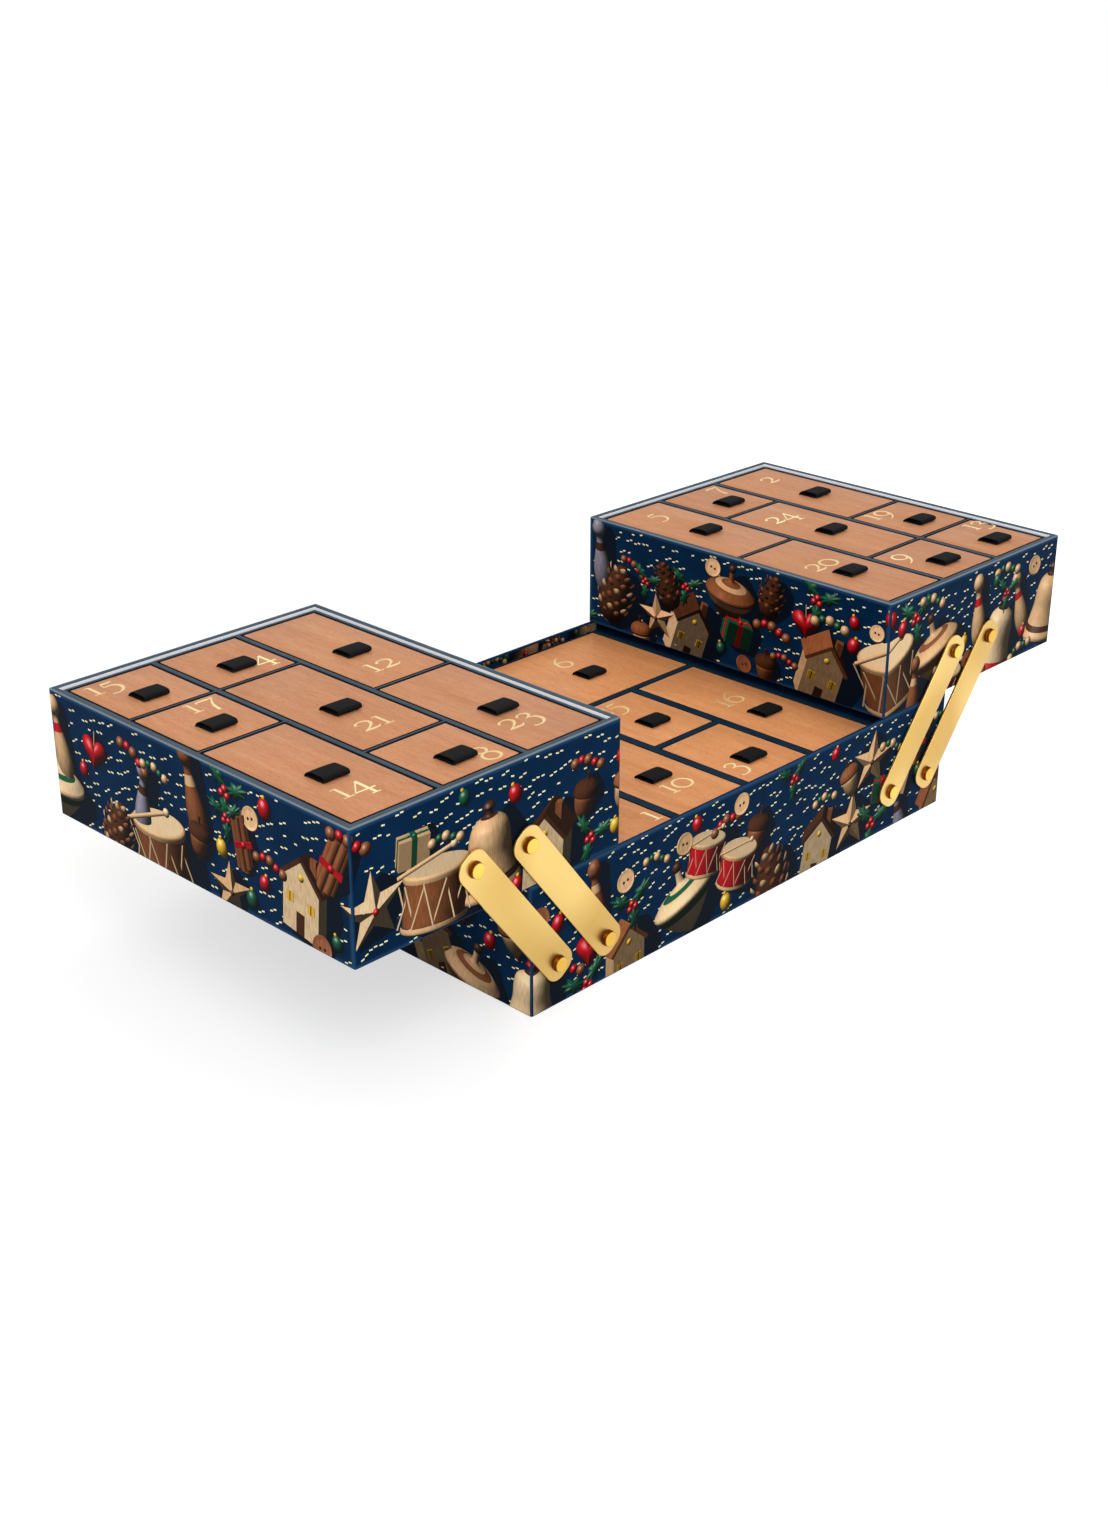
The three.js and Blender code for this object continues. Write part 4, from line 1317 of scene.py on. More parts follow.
# %% Turned toys
def spinning_top(colour, band):
    return turned(([(0.3, -24), (0.8, -22), (2.0, -19)], DARK, 0.3, 0.2),
                  ([(2.0, -19), (9.0, -13.5), (16.5, -5)], colour, 0.15, 1),
                  ([(16.5, -5), (20.0, 0)], band, 0.2, 0.6),
                  ([(20, 0), (20.6, 1.6), (20, 3)], colour, 0.2, 1),
                  ([(20, 3), (16, 6), (13, 7)], colour, 0.2, 1),
                  ([(13, 7), (8, 8.6)], band, 0.2, 0.6),
                  ([(8, 8.6), (3.2, 10), (2.2, 13), (2.0, 17)], colour, 0.2, 1),
                  ([(2, 17), (3.0, 19), (2.4, 21.5), (0, 22.2)], DARK, 0.4, 0.3))


def bell(colour, band):
    return joined(placed(ball(3.4, DARK, 0.6), (0, -21, 0)),
                  turned(([(15.5, -19), (17.5, -18.6)], DARK, 0.1, 1),
                         ([(17.5, -18.6), (17.8, -16.8), (16.2, -14)], colour, 0.3, 1),
                         ([(16.2, -14), (15.0, -10.6)], band, 0.3, 0.5),
                         ([(15.0, -10.6), (12.6, -2), (12.0, 6), (10.0, 12.5), (5, 16)], colour, 0.3, 1),
                         ([(5, 16), (2.4, 16.8), (2.2, 19)], DARK, 0.3, 1),
                         ([(2.2, 19), (3.6, 20.6), (2.2, 22.6), (0, 23)], band, 0.4, 0)))


def drum(colour, band):
    laces = [placed(block((0.8, 21, 0.6), PALE, 0, 0), (math.sin(a) * 18.3, 0, math.cos(a) * 18.3),
                    turn=0.32 * (-1) ** k)
             for k, a in enumerate(np.linspace(-1.35, 1.35, 9))]
    sticks = [rod((-19, 14, 14), (11, 24, 14), 1.1, TAN), placed(ball(2.2, PALE, 0.3), (12, 24.4, 14))]
    return joined(turned(([(0, -13.2), (17.6, -13.2)], DARK, 0, 1),
                         ([(17.6, -13.2), (19, -12.4), (18.8, -10)], band, 0.2, 0.7),
                         ([(18, -10), (18, 10)], colour, 0.1, 1),
                         ([(18.8, 10), (19, 12.4), (17.6, 13.2)], band, 0.2, 0.7),
                         ([(17.6, 13.2), (0, 13.2)], PALE, 0, 0.5)), *laces, *sticks)


def ninepin(colour, band):
    return turned(([(0, -27), (6.4, -27)], DARK, 0, 1),
                  ([(6.4, -27), (8.4, -19), (8.0, -9), (5.0, 3)], colour, 0.25, 1),
                  ([(5.0, 3), (3.5, 9)], band, 0.2, 0.5), ([(3.5, 9), (3.1, 12), (3.6, 14)], colour, 0.2, 1),
                  ([(3.6, 14), (6.0, 18), (6.0, 22), (3.6, 26), (0, 27.2)], colour, 0.3, 1))


def acorn(colour, band):
    return turned(([(0.2, -15.4), (1.6, -13.4), (6.6, -8), (8.8, 0), (8.6, 3)], colour, 0.5, 1),
                  ([(8.6, 3), (10.6, 3.4), (10.8, 5)], DARK, 0, 1),
                  ([(10.8, 5), (9.8, 8.6), (6, 11.4), (1.4, 12.4)], band, 0, 1),
                  ([(1.4, 12.4), (1.1, 15), (1.5, 17.6), (0, 17.8)], DARK, 0, 1))


def house(colour, band):
    walls = [block((25, 26, 17), colour, 0.05, 1, (0, -9, 0)), block((4.2, 9, 4.2), MID, 0, 1, (6.4, 15, 1))]
    gable = shape([(-12.5, 4, 8.5), (12.5, 4, 8.5), (0, 15.6, 8.5)], [(0, 0, 1)] * 3, [(0, 1, 2)], colour)
    roofs = [placed(block((20.4, 2.2, 21), band, 0.1, 1), (s * 7.0, 10.8, 0), turn=-s * 0.75)
             for s in (-1, 1)]
    openings = [block((5.6, 11, 0.8), DARK, 0, 1, (0, -16.4, 8.9)),
                block((4.6, 5, 0.8), YELLOW, 0.2, 0, (-7.4, -5.4, 8.9)),
                block((4.6, 5, 0.8), YELLOW, 0.2, 0, (7.4, -5.4, 8.9)),
                block((0.6, 5, 1.0), DARK, 0, 0, (-7.4, -5.4, 9.1)),
                block((0.6, 5, 1.0), DARK, 0, 0, (7.4, -5.4, 9.1)),
                placed(ball(2.2, YELLOW, 0.2, squash=1), (0, 7.4, 7.6))]
    return joined(*walls, gable, *roofs, *openings)


def button(colour, band):
    disc = turned(([(0, -1.2), (6, -1.2)], DARK, 0, 1), ([(6, -1.2), (6.8, 0), (6.2, 1.1)], colour, 0.3, 1),
                  ([(6.2, 1.1), (4.6, 0.8)], colour, 0.2, 1), ([(4.6, 0.8), (0, 0.8)], colour, 0.1, 1))
    holes = [placed(ball(0.9, DARK, 0, 0), (x, 1.0, z)) for x, z in ((-1.6, 0), (1.6, 0))]
    return placed(joined(disc, *holes), pitch=1.1)


# %% Grown and cut things
GOLDEN_ANGLE = 2.39996
HEART_SCALE = 0.82


def pine_cone(colour, band):
    core = turned(([(1, -20), (8, -16), (11, -6), (8.6, 8), (3, 18), (0, 19)], DARK, 0, 1), around=16)
    scales = []
    for k in range(64):
        part = k / 63
        a = k * GOLDEN_ANGLE
        height = -18 + 36 * part
        radius = 12.6 * math.sin(math.pi * (0.10 + 0.86 * (1 - part))) ** 0.75
        if math.cos(a) < -0.25:
            continue
        flake = puffed([(-2.9, 0), (-1.6, -2.4), (0, -3.1), (1.6, -2.4), (2.9, 0), (1.5, 2.2), (0, 2.8),
                        (-1.5, 2.2)], 1.5, colour if k % 3 else band, 0.15, 1, 2)
        flake = placed(flake, (0, 0, radius), pitch=0.5)
        scales.append(placed(flake, (0, height, 0), yaw=a))
    return joined(core, *scales)


def cinnamon(colour, band):
    sticks = [rod((x - 2.5, -19 + d, z), (x + 2.5, 19 + d, z), 2.9, c, 0.1, 1)
              for x, z, d, c in ((-6, 0, 1, MID), (0, 2.4, -2, colour), (6, 0, 2, MID), (-3, 5, 0, colour),
                                 (3.2, 5, 1.4, MID))]
    return joined(*sticks, block((18.6, 4.2, 3), band, 0.3, 0, (0, 0, 8)),
                  placed(ball(2.6, band, 0.4), (0, 0, 9)),
                  placed(puffed([(0, 0), (7, 4.4), (9, 0), (7, -4.4)], 1.2, band, 0.3, 0), (0.6, 0, 9.4),
                         turn=0.5),
                  placed(puffed([(0, 0), (7, 4.4), (9, 0), (7, -4.4)], 1.2, band, 0.3, 0), (-0.6, 0, 9.4),
                         turn=2.7))


def carved_star(colour, band):
    spots = []
    for k in range(10):
        a = math.pi / 2 + k * math.pi / 5
        r = 21 if k % 2 == 0 else 8.6
        spots.append((math.cos(a) * r, math.sin(a) * r))
    facets = []
    for k in range(10):
        a, b = np.array((*spots[k], 0.0)), np.array((*spots[(k + 1) % 10], 0.0))
        peak = np.array((0, 0, 6.0))
        normal = np.cross(b - a, peak - a)
        normal /= np.linalg.norm(normal)
        facets.append(shape([a, b, peak], [normal] * 3, [(0, 1, 2)], colour, 0.1, 1))
    return joined(*facets, placed(ball(2.0, band, 0.5), (0, 0, 6.0)))


def heart(colour, band):
    edge_line = []
    for k in range(36):
        t = 2 * math.pi * k / 36
        rise = 13 * math.cos(t) - 5 * math.cos(2 * t) - 2 * math.cos(3 * t) - math.cos(4 * t)
        edge_line.append((HEART_SCALE * 16 * math.sin(t) ** 3, HEART_SCALE * rise + 1.5))
    edge_line.reverse()
    return joined(rod((0, 6, 0), (0, 17, 0), 0.45, PALE, 0, 0), puffed(edge_line, 5, colour, 0.5, 0.3, 6))


def parcel(colour, band):
    return joined(block((22, 17, 15), colour, 0.1, 0.4), block((4, 17.3, 15.3), band, 0.3, 0),
                  block((22.3, 17.3, 3.6), band, 0.3, 0),
                  placed(puffed([(0, 0), (6, 4.6), (9, 2), (7, -1.4)], 2, band, 0.4, 0), (0, 9, 2), turn=0.5),
                  placed(puffed([(0, 0), (6, 1.4), (9, -2), (6, -4.6)], 2, band, 0.4, 0), (0, 9, 2),
                         turn=2.6),
                  placed(ball(1.9, band, 0.4), (0, 9.4, 4)))


def holly(colour, band):
    leaf_edge = []
    for k in range(28):
        a = 2 * math.pi * k / 28
        r = 1.0 + 0.26 * math.cos(7 * a)
        leaf_edge.append((math.cos(a) * 8.4 * r + 8, math.sin(a) * 3.9 * r))
    leaf = placed(puffed([(x - 8, y) for x, y in leaf_edge], 1.6, colour, 0.35, 0.2, 3), (9.5, 0, 0))
    leaves = [placed(leaf, (0, 0, 0), turn=a) for a in (0.5, 2.5, -1.6)]
    berries = [placed(ball(2.3, band, 0.9), (x, y, 3)) for x, y in ((0, 1.6), (-2.3, -1.6), (2.3, -1.4))]
    return joined(*leaves, *berries)


def beads(colour, band):
    string = []
    for k in range(5):
        bead = ball(2.7, band, 0.6, 0) if k % 2 else ball(3.4, colour, 0.6, 0.5)
        string.append(placed(bead, (k * 5.6 - 11.2, 2.4 * math.sin(k * 1.1), 0)))
    return joined(*string)


def egg_bead(colour, band):
    cap = turned(([(0, 0), (1.3, 0), (1.1, 1.6), (0, 1.8)], YELLOW, 0.5, 0), around=10)
    return joined(ball(4.6, colour, 0.8, 0.1, 1.25, 20), placed(cap, (0, 5.5, 0)))


print("motifs ready")

# %% [markdown]
# ## Setting the motifs on the wall
#
# The wall is one long strip when the paper is laid flat: along the front, round the right end, along the back
# and home. Motifs are dropped on this strip with a fixed seed, big ones first and low down, then middling,
# then small ones wherever there is room, each a little turned. The lower edge crops some, as printed paper is
# cropped where it folds under. Each row of `SOWING` gives the kinds, how many go on a metre, their sizes,
# the span of heights, how close they may come to each other, and how far each reaches in millimetres.

# %% Layout
BIG = [(spinning_top, TAN, MID), (bell, PALE, RED), (house, TAN, MID), (drum, MID, TAN),
       (carved_star, PALE, RED), (spinning_top, PALE, GREEN), (house, PALE, DARK), (bell, TAN, DARK),
       (pine_cone, MID, TAN)]
MIDDLE = [(ninepin, MID, TAN), (pine_cone, DARK, MID), (acorn, MID, DARK), (cinnamon, MID, RED),
          (heart, RED, RED), (ninepin, TAN, RED), (acorn, TAN, MID), (parcel, GREEN, RED),
          (carved_star, TAN, DARK), (drum, RED, TAN), (spinning_top, MID, TAN), (parcel, TAN, GREEN),
          (ninepin, GREY, DARK)]
SMALL = [(egg_bead, RED, RED), (holly, GREEN, RED), (button, MID, MID), (egg_bead, GREEN, GREEN),
         (beads, MID, RED), (holly, GREEN, RED), (button, TAN, DARK), (egg_bead, RED, RED),
         (beads, TAN, GREEN), (egg_bead, YELLOW, YELLOW)]
SOWING = ((BIG, 17, (1.05, 1.32), (0.04, 0.44), 0.72, 21),
          (MIDDLE, 30, (0.78, 1.02), (0.02, 0.76), 0.70, 15),
          (SMALL, 52, (0.80, 1.15), (0.03, 0.90), 0.86, 7.5))
TRIES = 40


def layout(length, height, seed):
    """Motifs on a wall of this unrolled length: ((maker, colour, band), place, turn, scale, reach)."""
    roll = random.Random(seed)
    taken = []

    def fits(u, v, reach, slack):
        for a, b, c in taken:
            apart = math.hypot(min(abs(u - a), length - abs(u - a)), v - b)
            if apart <= (reach + c) * slack:
                return False
        return True

    chosen = []
    for kinds, per_metre, scales, span, slack, reach in SOWING:
        order = list(kinds)
        wanted = round(per_metre * length / 1000)
        for _ in range(wanted * TRIES):
            if wanted == 0:
                break
            size = roll.uniform(*scales)
            u, v = roll.uniform(0, length), height * roll.uniform(*span)
            if not fits(u, v, reach * size, slack):
                continue
            if not order:
                order = list(kinds)
            kind = order.pop(roll.randrange(len(order)))
            taken.append((u, v, reach * size))
            chosen.append((kind, (u, v), roll.uniform(-0.35, 0.35), size, reach * size))
            wanted -= 1
    return chosen


for name in WALLS:
    low, high = paper_box(name)
    around = 2 * (high[0] - low[0] + high[1] - low[1]) - 8 * CORNER_MM + 2 * math.pi * CORNER_MM
    print(name, "is", round(around), "mm round,", len(layout(around, high[2] - low[2], 3)), "motifs")

# %% [markdown]
# ## Pressing them flat and wrapping the box
#
# Each placed motif is shaded, pressed flat and clipped at the folds of the paper. Then the strip is rolled up
# round the box. The print leaves the corners' rounds bare, so all faces are first split along the lines where
# a round begins and ends, and what lies between is taken away. The same list of motifs gives the soft shadows
# behind them: those go in the `shade` attribute of the wall. The base's paper is turned in over its rim, so a
# narrow strip of the print also goes down inside. Its ink is darkened there, as painted shade for the shade
# inside the wall.

# %% Ink
PRINT_LIFT = 0.05
PRINT_DEPTH = 0.10
OUTLINE_LIFT = PRINT_LIFT - 0.008
MARKS_APART = 37.0
CASTS_FROM = 9
TURNED_IN_PAINTED_SHADE = 0.45
TURNED_IN_SIZE = 0.7
printed_ink, tree, shader = new_material("printed_photo_ink", Roughness=0.5, Specular_IOR_Level=0.1, IOR=1.25)
ink = attribute(tree, "ink", "Color")
flat_place = add(tree, "ShaderNodeUVMap", uv_map="motif").outputs[0]
stretched = add(tree, "ShaderNodeMapping", {"Vector": flat_place, "Scale": (0.95, 0.16, 1.0)})
figure_noise = add(tree, "ShaderNodeTexNoise", {"Vector": stretched.outputs[0], "Scale": 1.0,
                                                "Detail": 3.0}).outputs["Fac"]
figure_grey = ramp(tree, figure_noise, (0.32, "#8E8E8E"), (0.68, "#CECECE"))
link(tree, blend_colours(tree, "OVERLAY", attribute(tree, "wood"), ink, figure_grey), shader, "Base Color")


def painted(s):
    """Ink colours of a placed shape under the painted light."""
    light = PRINT_LIGHT / np.linalg.norm(PRINT_LIGHT)
    lit = np.clip(s["normals"] @ light, 0, 1) ** 1.25
    half = light + np.array((0, 0, 1))
    spot = np.clip(s["normals"] @ (half / np.linalg.norm(half)), 0, 1) ** 40 * s["gloss"]
    edge_dark = 0.55 + 0.45 * np.clip(s["normals"][:, 2], 0, 1) ** 0.6
    tone = (0.055 + 1.36 * lit) * edge_dark
    return np.clip(s["ink"] * tone[:, None] + spot[:, None] * 0.6, 0, 1)


def cast_shadow(s):
    """The dark outline that a placed shape throws on the paper behind it, away from the painted light."""
    depth = s["points"][:, 2] - s["points"][:, 2].min()
    spots = np.stack((s["points"][:, 0] + depth * 0.42, s["points"][:, 1] - depth * 0.20), 1)
    ring = [spots[i] for i in convex_hull_2d([tuple(p) for p in spots])]
    area = sum(ring[i - 1][0] * ring[i][1] - ring[i][0] * ring[i - 1][1] for i in range(len(ring)))
    if area < 0:
        ring.reverse()
    face = tuple(range(len(ring)))
    return shape([(x, y, 0) for x, y in ring], [(0, 0, 1)] * len(ring), [face], SHADOW_INK, 0, 0)


def wall_place(low, high, u, v, lift):
    """Rolls the flat strip (u along, v up, lift outward; all mm) round a box. Works on arrays."""
    across, along = high[0] - low[0] - 2 * CORNER_MM, high[1] - low[1] - 2 * CORNER_MM
    bend = math.pi / 2 * CORNER_MM
    total = 2 * (across + along) + 4 * bend
    u = np.mod(u, total)
    x, y = np.zeros_like(u), np.zeros_like(u)
    start = 0.0
    corner = [(low[0] + CORNER_MM, low[1] + CORNER_MM), (high[0] - CORNER_MM, low[1] + CORNER_MM),
              (high[0] - CORNER_MM, high[1] - CORNER_MM), (low[0] + CORNER_MM, high[1] - CORNER_MM)]
    for side in range(4):
        length = along if side % 2 else across
        a0 = -math.pi / 2 + side * math.pi / 2
        along_x, along_y = -math.sin(a0), math.cos(a0)
        reach = CORNER_MM + lift
        on_wall = (u >= start) & (u <= start + length)
        t = u - start
        x = np.where(on_wall, corner[side][0] + along_x * t + math.cos(a0) * reach, x)
        y = np.where(on_wall, corner[side][1] + along_y * t + math.sin(a0) * reach, y)
        start += length
        on_bend = (u > start) & (u < start + bend)
        a = a0 + (u - start) / CORNER_MM
        centre = corner[(side + 1) % 4]
        x = np.where(on_bend, centre[0] + np.cos(a) * reach, x)
        y = np.where(on_bend, centre[1] + np.sin(a) * reach, y)
        start += bend
    return np.stack((x, y, low[2] + v), 1) * MM


def corner_bands(low, high):
    """(start, end) of each corner's round along the strip and of its repeats, and the whole turn."""
    across, along = high[0] - low[0] - 2 * CORNER_MM, high[1] - low[1] - 2 * CORNER_MM
    bend = math.pi / 2 * CORNER_MM
    bands, start = [], 0.0
    for side in range(4):
        start += along if side % 2 else across
        bands.append((start, start + bend))
        start += bend
    around = [(a + shift, b + shift) for shift in (-start, 0.0, start) for a, b in bands]
    return [band for band in around if -70 < band[0] < start + 70], start


def cut(work, place, axis, keep=None):
    """Splits the faces of the flat strip along one line, and clears one side of it if keep says so."""
    faces = []
    for f in work.faces:
        spots = [v.co[axis] for v in f.verts]
        if min(spots) < place < max(spots) or (keep and (min(spots) - place) * keep < 0):
            faces.append(f)
    if not faces:
        return
    # each once and in order, so that every run gives the same mesh
    edges = list(dict.fromkeys(e for f in faces for e in f.edges))
    points = list(dict.fromkeys(v for f in faces for v in f.verts))
    normal = [0.0, 0.0, 0.0]
    normal[axis] = 1.0
    spot = [0.0, 0.0, 0.0]
    spot[axis] = place
    bmesh.ops.bisect_plane(work, geom=edges + points + faces, plane_co=spot, plane_no=normal,
                           clear_inner=keep == 1, clear_outer=keep == -1)


def toward_the_viewer(points, faces):
    """The faces that are seen once the shape is pressed flat."""
    kept = []
    for face in faces:
        p = points[list(face)]
        if sum(p[i - 1][0] * p[i][1] - p[i][0] * p[i - 1][1] for i in range(len(face))) > 1e-3:
            kept.append(face)
    return kept


def pressed_motifs(chosen, roll, shade_dimmed_ink):
    """All chosen motifs, shaded and pressed flat, each with its dark outline behind it, the largest first."""
    pieces = []
    order = sorted(range(len(chosen)), key=lambda i: -chosen[i][4])
    for layer, index in enumerate(order):
        (maker, colour, band), (u, v), turn, size, reach = chosen[index]
        thing = placed(maker(colour, band), turn=turn, pitch=0.30 + roll.uniform(-0.08, 0.10),
                       yaw=roll.uniform(-0.4, 0.4), scale=size)
        # The ink factor below 1 darkens the turned-in strip inside the base's wall: painted shade.
        thing["ink"] = painted(thing) * shade_dimmed_ink
        flat = thing["points"].copy()
        kept = toward_the_viewer(flat, thing["faces"])
        if reach > CASTS_FROM:
            behind = cast_shadow(thing)
            behind["points"] += np.array((u, v, OUTLINE_LIFT + 0.006 * layer / len(order)))
            behind["marks"] = behind["points"][:, :2]
            pieces.append(behind)
        marks = np.stack((flat[:, 0] * math.cos(turn) + flat[:, 1] * math.sin(turn),
                          flat[:, 1] * math.cos(turn) - flat[:, 0] * math.sin(turn)), 1)
        deep = np.clip((flat[:, 2] + 30) / 60, 0, 1)
        flat[:, 0] += u
        flat[:, 1] += v
        flat[:, 2] = PRINT_LIFT + PRINT_DEPTH * (0.5 * deep + 0.5 * layer / len(order))
        thing.update(points=flat, faces=kept, marks=marks + layer * MARKS_APART)
        pieces.append(thing)
    return pieces


def printed_mesh(name, pieces):
    """One mesh of the pressed pieces, with their ink, and with the UV that their wood's grain follows."""
    marks = np.concatenate([p["marks"] for p in pieces])
    whole = joined(*pieces)
    used = sorted({i for f in whole["faces"] for i in f})
    renumber = {old: new for new, old in enumerate(used)}
    faces = [tuple(renumber[i] for i in f) for f in whole["faces"]]
    piece = mesh_object(name, whole["points"][used], faces, [printed_ink])
    colours = piece.data.attributes.new("ink", "FLOAT_COLOR", "POINT")
    colours.data.foreach_set("color", np.append(whole["ink"][used], np.ones((len(used), 1)), 1).ravel())
    set_vertex_values(piece, "wood", whole["wood"][used] * 0.55)
    uv = piece.data.uv_layers.new(name="motif")
    corners = np.zeros(len(piece.data.loops), int)
    piece.data.loops.foreach_get("vertex_index", corners)
    uv.data.foreach_set("uv", marks[used][corners].ravel())
    return piece


def crop_print(piece, bottom, height, bands):
    """Crops the flat print at the wall's two edges and takes the ink off the corners' rounds."""
    work = bmesh.new()
    work.from_mesh(piece.data)
    cut(work, bottom, 1, 1)
    cut(work, height, 1, -1)
    for start, end in bands:
        cut(work, start, 0)
        cut(work, end, 0)
    on_corner = [f for f in work.faces if any(a < f.calc_center_median().x < b for a, b in bands)]
    bmesh.ops.delete(work, geom=on_corner, context="FACES")
    work.to_mesh(piece.data)
    work.free()


def roll_print(piece, low, high, side):
    """Rolls the flat print round its box: outside it where side is 1, inside the wall where it is -1."""
    flat = np.zeros(len(piece.data.vertices) * 3)
    piece.data.vertices.foreach_get("co", flat)
    flat = flat.reshape(-1, 3)
    middles = np.zeros(len(flat))
    for face in piece.data.polygons:
        middles[list(face.vertices)] = face.center.x
    nudge = np.sign(middles - flat[:, 0]) * 1e-4
    rolled = wall_place(low, high, flat[:, 0] + nudge, flat[:, 1], flat[:, 2] * side)
    piece.data.vertices.foreach_set("co", rolled.ravel())
    if side < 0:
        piece.data.flip_normals()
    piece.data.update()


def print_wall(node, name, body, seed, turned_in=0.0):
    """All motifs of one box as one thin piece; turned-in paper goes down inside the wall."""
    low, high = paper_box(node)
    bottom, height, side = FOLD_MM + 0.1, high[2] - low[2] - FOLD_MM - 0.1, 1
    if turned_in:
        wall = WALLS[node]["wall"] + INK_MM
        low, high = [low[0] + wall, low[1] + wall, low[2]], [high[0] - wall, high[1] - wall, high[2]]
        bottom, side = height - turned_in, -1
    bands, total = corner_bands(low, high)
    chosen = layout(total, high[2] - low[2], seed)
    if turned_in:
        chosen = [(kind, (u, bottom + v % turned_in), turn, size * TURNED_IN_SIZE, reach * TURNED_IN_SIZE)
                  for kind, (u, v), turn, size, reach in chosen]
    # Inside the base's wall the print's ink is darkened: painted shade.
    shade_dimmed_ink = TURNED_IN_PAINTED_SHADE if turned_in else 1.0
    piece = printed_mesh(name, pressed_motifs(chosen, random.Random(seed + 100), shade_dimmed_ink))
    crop_print(piece, bottom, height, bands)
    roll_print(piece, low, high, side)
    finish_piece(piece, body, "printed_paper")
    return piece, chosen, total


prints = {}
for node, seed in (("left_tray_box", 3), ("right_tray_box", 5), ("base_box", 8)):
    name = node.replace("_box", "_print")
    prints[node] = print_wall(node, name, WALLS[node]["body"], seed)
    print(name, triangles(prints[node][0]), "triangles")
turned_in_print = print_wall("base_box", "base_turned_in_print", "base", 21, 7.0)[0]
print(turned_in_print.name, triangles(turned_in_print), "triangles")

# %% [markdown]
# ## Shadows and flecks behind the motifs
#
# Two things lie behind the motifs on the print. Each motif casts a soft shadow to the right and down, which
# goes in the wall's `shade` attribute. And the whole ground is strewn with small cream flecks, some of them
# in pairs: a scatter on the walls' faces by one more node group, with a least distance between flecks and a
# fixed seed.

# %% Shadows in the wall's vertices
SHADOW_SHIFT = (0.30, -0.22)


def shade_wall(node, chosen, total):
    """Stores the motifs' soft shadows in the vertices of the wall."""
    low, high = paper_box(node)
    settings = WALLS[node]
    rows = wall_profile(low[2], high[2], settings["wall"], settings["floor"])
    ring = np.array(outline(low, high, 0.0))
    steps = np.hypot(*(np.roll(ring, -1, 0) - ring).T)
    along = np.concatenate(([0.0], np.cumsum(steps)[:-1])) * total / steps.sum()
    heights = np.array([row[1] - low[2] for row in rows])
    clear = np.ones((len(rows), len(along)))
    for _, (u, v), _, _, reach in chosen:
        du = (along - u - SHADOW_SHIFT[0] * reach + total / 2) % total - total / 2
        dv = heights - v - SHADOW_SHIFT[1] * reach
        d2 = (du[None, :] / (0.86 * reach)) ** 2 + (dv[:, None] / (0.66 * reach)) ** 2
        clear *= 1 - 0.66 * np.exp(-d2 * 1.6)
    outside = np.array([row[2] == 0 for row in rows])
    shade = np.where(outside[:, None], 1 - clear, 0.0)
    set_vertex_values(cases[node], "shade", shade.ravel())
    return float(shade[outside].mean())


for node, (piece, chosen, total) in prints.items():
    print(node, "mean shade", round(shade_wall(node, chosen, total), 2))

# %% Flecks
SINGLE_FLECKS = 0.72
SIDE_MARGIN = 1.5
EDGE_MARGIN = 0.9
fleck_ink, tree, shader = new_material("cream_fleck_ink", Roughness=0.5, Specular_IOR_Level=0.1, IOR=1.25)
link(tree, ramp(tree, object_noise(tree, (9, 9, 9), 1.0), (0.35, "#E9DFA6"), (0.65, "#F6F0CB")), shader,
     "Base Color")

fleck_rule, given = start_group("printed_flecks", Wall=("Object", None), Distance=("Float", 0.0062),
                                Density=("Float", 40000.0), Long=("Float", 0.0022), Wide=("Float", 0.00085),
                                Pair_Gap=("Float", 0.0030), Lift=("Float", 0.00002), Seed=("Int", 1),
                                Material=("Material", None))
wall = add(fleck_rule, "GeometryNodeObjectInfo", {"Object": given["Wall"]})
is_outside = add(fleck_rule, "FunctionNodeCompare",
                 {2: add(fleck_rule, "GeometryNodeInputMaterialIndex").outputs[0], 3: 0},
                 data_type="INT", operation="EQUAL")
fold_value = add(fleck_rule, "GeometryNodeInputNamedAttribute", {"Name": "fold"}, data_type="FLOAT")
is_flat = add(fleck_rule, "FunctionNodeCompare", {0: fold_value.outputs[0], 1: 0.01}, operation="LESS_THAN")
upright = add(fleck_rule, "ShaderNodeSeparateXYZ", {0: add(fleck_rule, "GeometryNodeInputNormal").outputs[0]})
is_side = add(fleck_rule, "FunctionNodeCompare", {0: upright.outputs[2], 1: -0.5}, operation="GREATER_THAN")
first_two = add(fleck_rule, "FunctionNodeBooleanMath", {0: is_outside.outputs[0], 1: is_flat.outputs[0]},
                operation="AND")
all_three = add(fleck_rule, "FunctionNodeBooleanMath", {0: first_two.outputs[0], 1: is_side.outputs[0]},
                operation="AND")
points = add(fleck_rule, "GeometryNodeDistributePointsOnFaces",
             {"Mesh": wall.outputs["Geometry"], "Selection": all_three.outputs[0],
              "Distance Min": given["Distance"], "Density Max": given["Density"], "Seed": given["Seed"]},
             distribute_method="POISSON")
facing = add(fleck_rule, "FunctionNodeAlignRotationToVector", {"Vector": points.outputs["Normal"]}, axis="Z")
upward = add(fleck_rule, "FunctionNodeAlignRotationToVector",
             {"Rotation": facing.outputs[0], "Vector": (0, 0, 1)}, axis="Y", pivot_axis="Z")
dash = add(fleck_rule, "GeometryNodeMeshGrid", {"Size X": given["Long"], "Size Y": given["Wide"],
                                                "Vertices X": 2, "Vertices Y": 2})
half_gap = add(fleck_rule, "ShaderNodeCombineXYZ", {0: given["Pair Gap"], 1: given["Wide"]})
second = add(fleck_rule, "GeometryNodeTransform",
             {"Geometry": dash.outputs["Mesh"], "Translation": half_gap.outputs[0]})
pair = add(fleck_rule, "GeometryNodeJoinGeometry", {0: dash.outputs["Mesh"]})
fleck_rule.links.new(second.outputs[0], pair.inputs[0])
single_instance = add(fleck_rule, "GeometryNodeGeometryToInstance", {0: dash.outputs["Mesh"]})
pair_instance = add(fleck_rule, "GeometryNodeGeometryToInstance", {0: pair.outputs[0]})
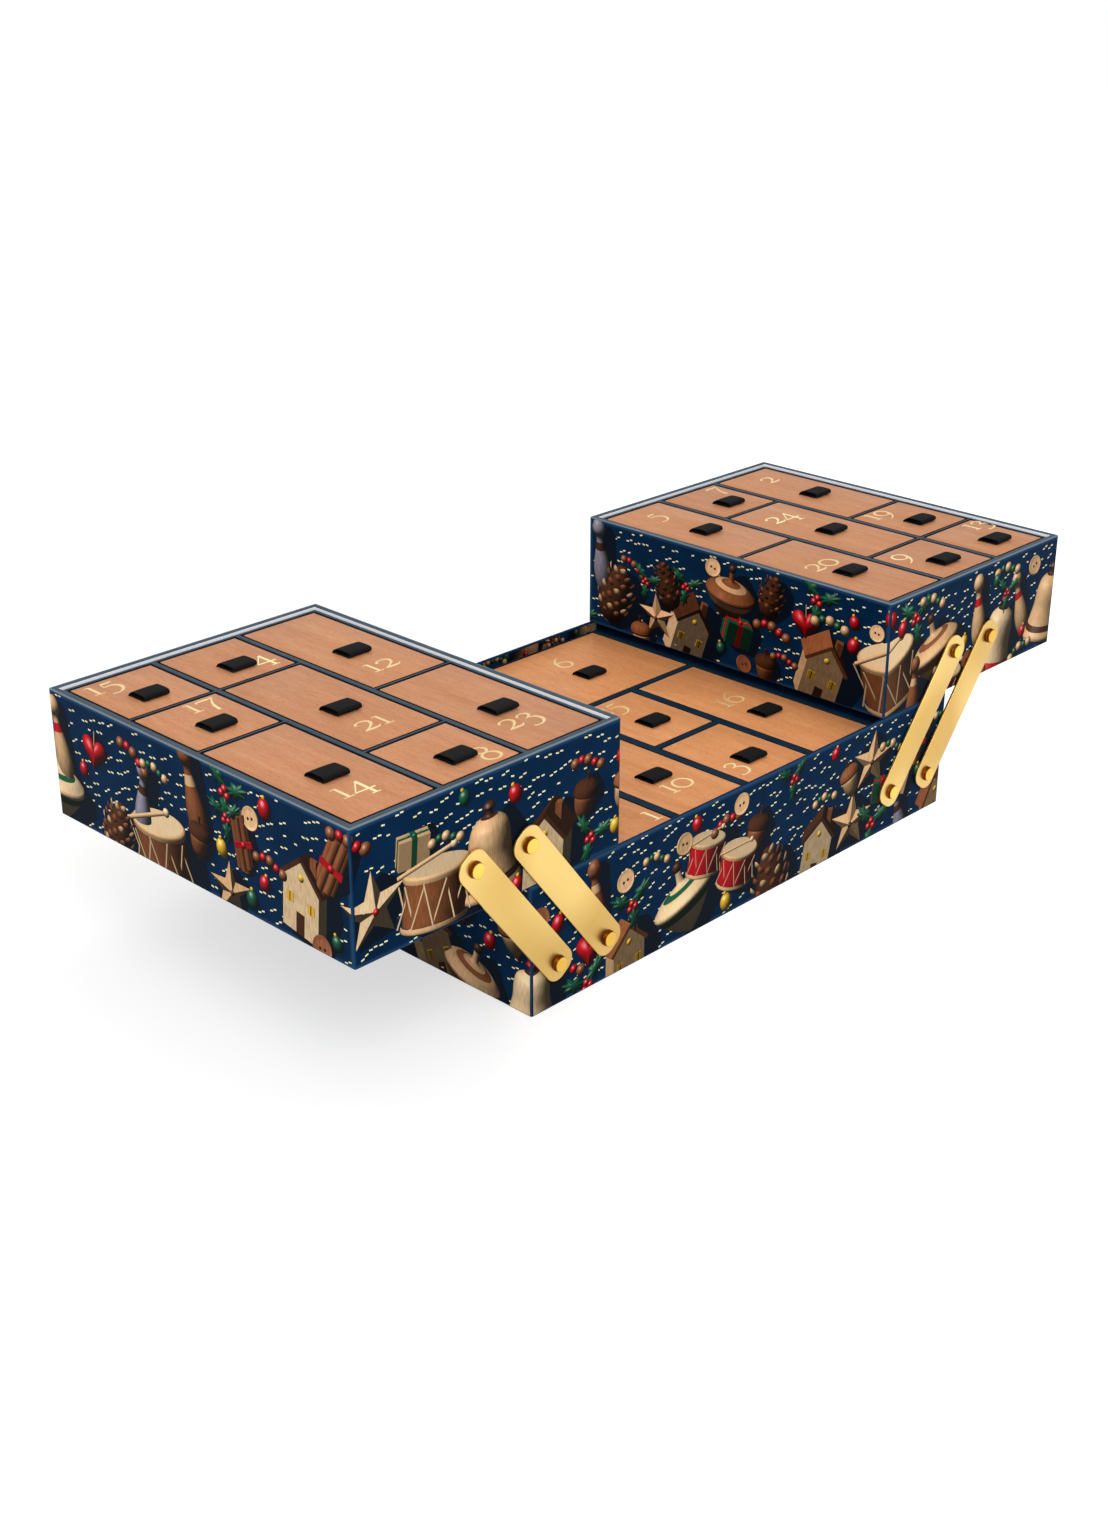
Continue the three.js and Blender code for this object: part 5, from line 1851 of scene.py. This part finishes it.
kinds = add(fleck_rule, "GeometryNodeJoinGeometry", {0: single_instance.outputs[0]})
fleck_rule.links.new(pair_instance.outputs[0], kinds.inputs[0])
chance = add(fleck_rule, "FunctionNodeRandomValue", {2: 0.0, 3: 1.0, "Seed": given["Seed"]},
             data_type="FLOAT")
which = add(fleck_rule, "FunctionNodeCompare", {0: chance.outputs[1], 1: SINGLE_FLECKS},
            operation="GREATER_THAN")
scattered = add(fleck_rule, "GeometryNodeInstanceOnPoints",
                {"Points": points.outputs["Points"], "Instance": kinds.outputs[0], "Pick Instance": True,
                 "Instance Index": which.outputs[0], "Rotation": upward.outputs[0]})
slant = add(fleck_rule, "FunctionNodeRandomValue", {0: (0, 0, -0.22), 1: (0, 0, 0.34), "Seed": 7},
            data_type="FLOAT_VECTOR")
slanted = add(fleck_rule, "GeometryNodeRotateInstances",
              {"Instances": scattered.outputs[0], "Rotation": slant.outputs[0], "Local Space": True})
lift = add(fleck_rule, "ShaderNodeCombineXYZ", {2: given["Lift"]})
lifted = add(fleck_rule, "GeometryNodeTranslateInstances",
             {"Instances": slanted.outputs[0], "Translation": lift.outputs[0], "Local Space": True})
end_group(fleck_rule, lifted.outputs[0], given["Material"])


def trim_flecks(piece, low, high):
    """Takes away the flecks that reach past a corner, the rim or the lower edge."""
    work = bmesh.new()
    work.from_mesh(piece.data)
    gone = []
    for face in work.faces:
        spots = [v.co / MM for v in face.verts]
        along_x = all(low[0] + SIDE_MARGIN < p.x < high[0] - SIDE_MARGIN for p in spots)
        along_y = all(low[1] + SIDE_MARGIN < p.y < high[1] - SIDE_MARGIN for p in spots)
        on_height = all(low[2] + EDGE_MARGIN < p.z < high[2] - EDGE_MARGIN for p in spots)
        if not (on_height and (along_x or along_y)):
            gone.append(face)
    bmesh.ops.delete(work, geom=gone, context="FACES")
    work.to_mesh(piece.data)
    work.free()


for seed, (node, settings) in enumerate(WALLS.items()):
    flecks = run_group(node.replace("_box", "_flecks"), fleck_rule, Wall=cases[node], Seed=11 + seed,
                       Material=fleck_ink)
    bake_modifiers(flecks)
    trim_flecks(flecks, *paper_box(node))
    finish_piece(flecks, settings["body"], "printed_paper")
    print(flecks.name, triangles(flecks) // 2, "flecks")
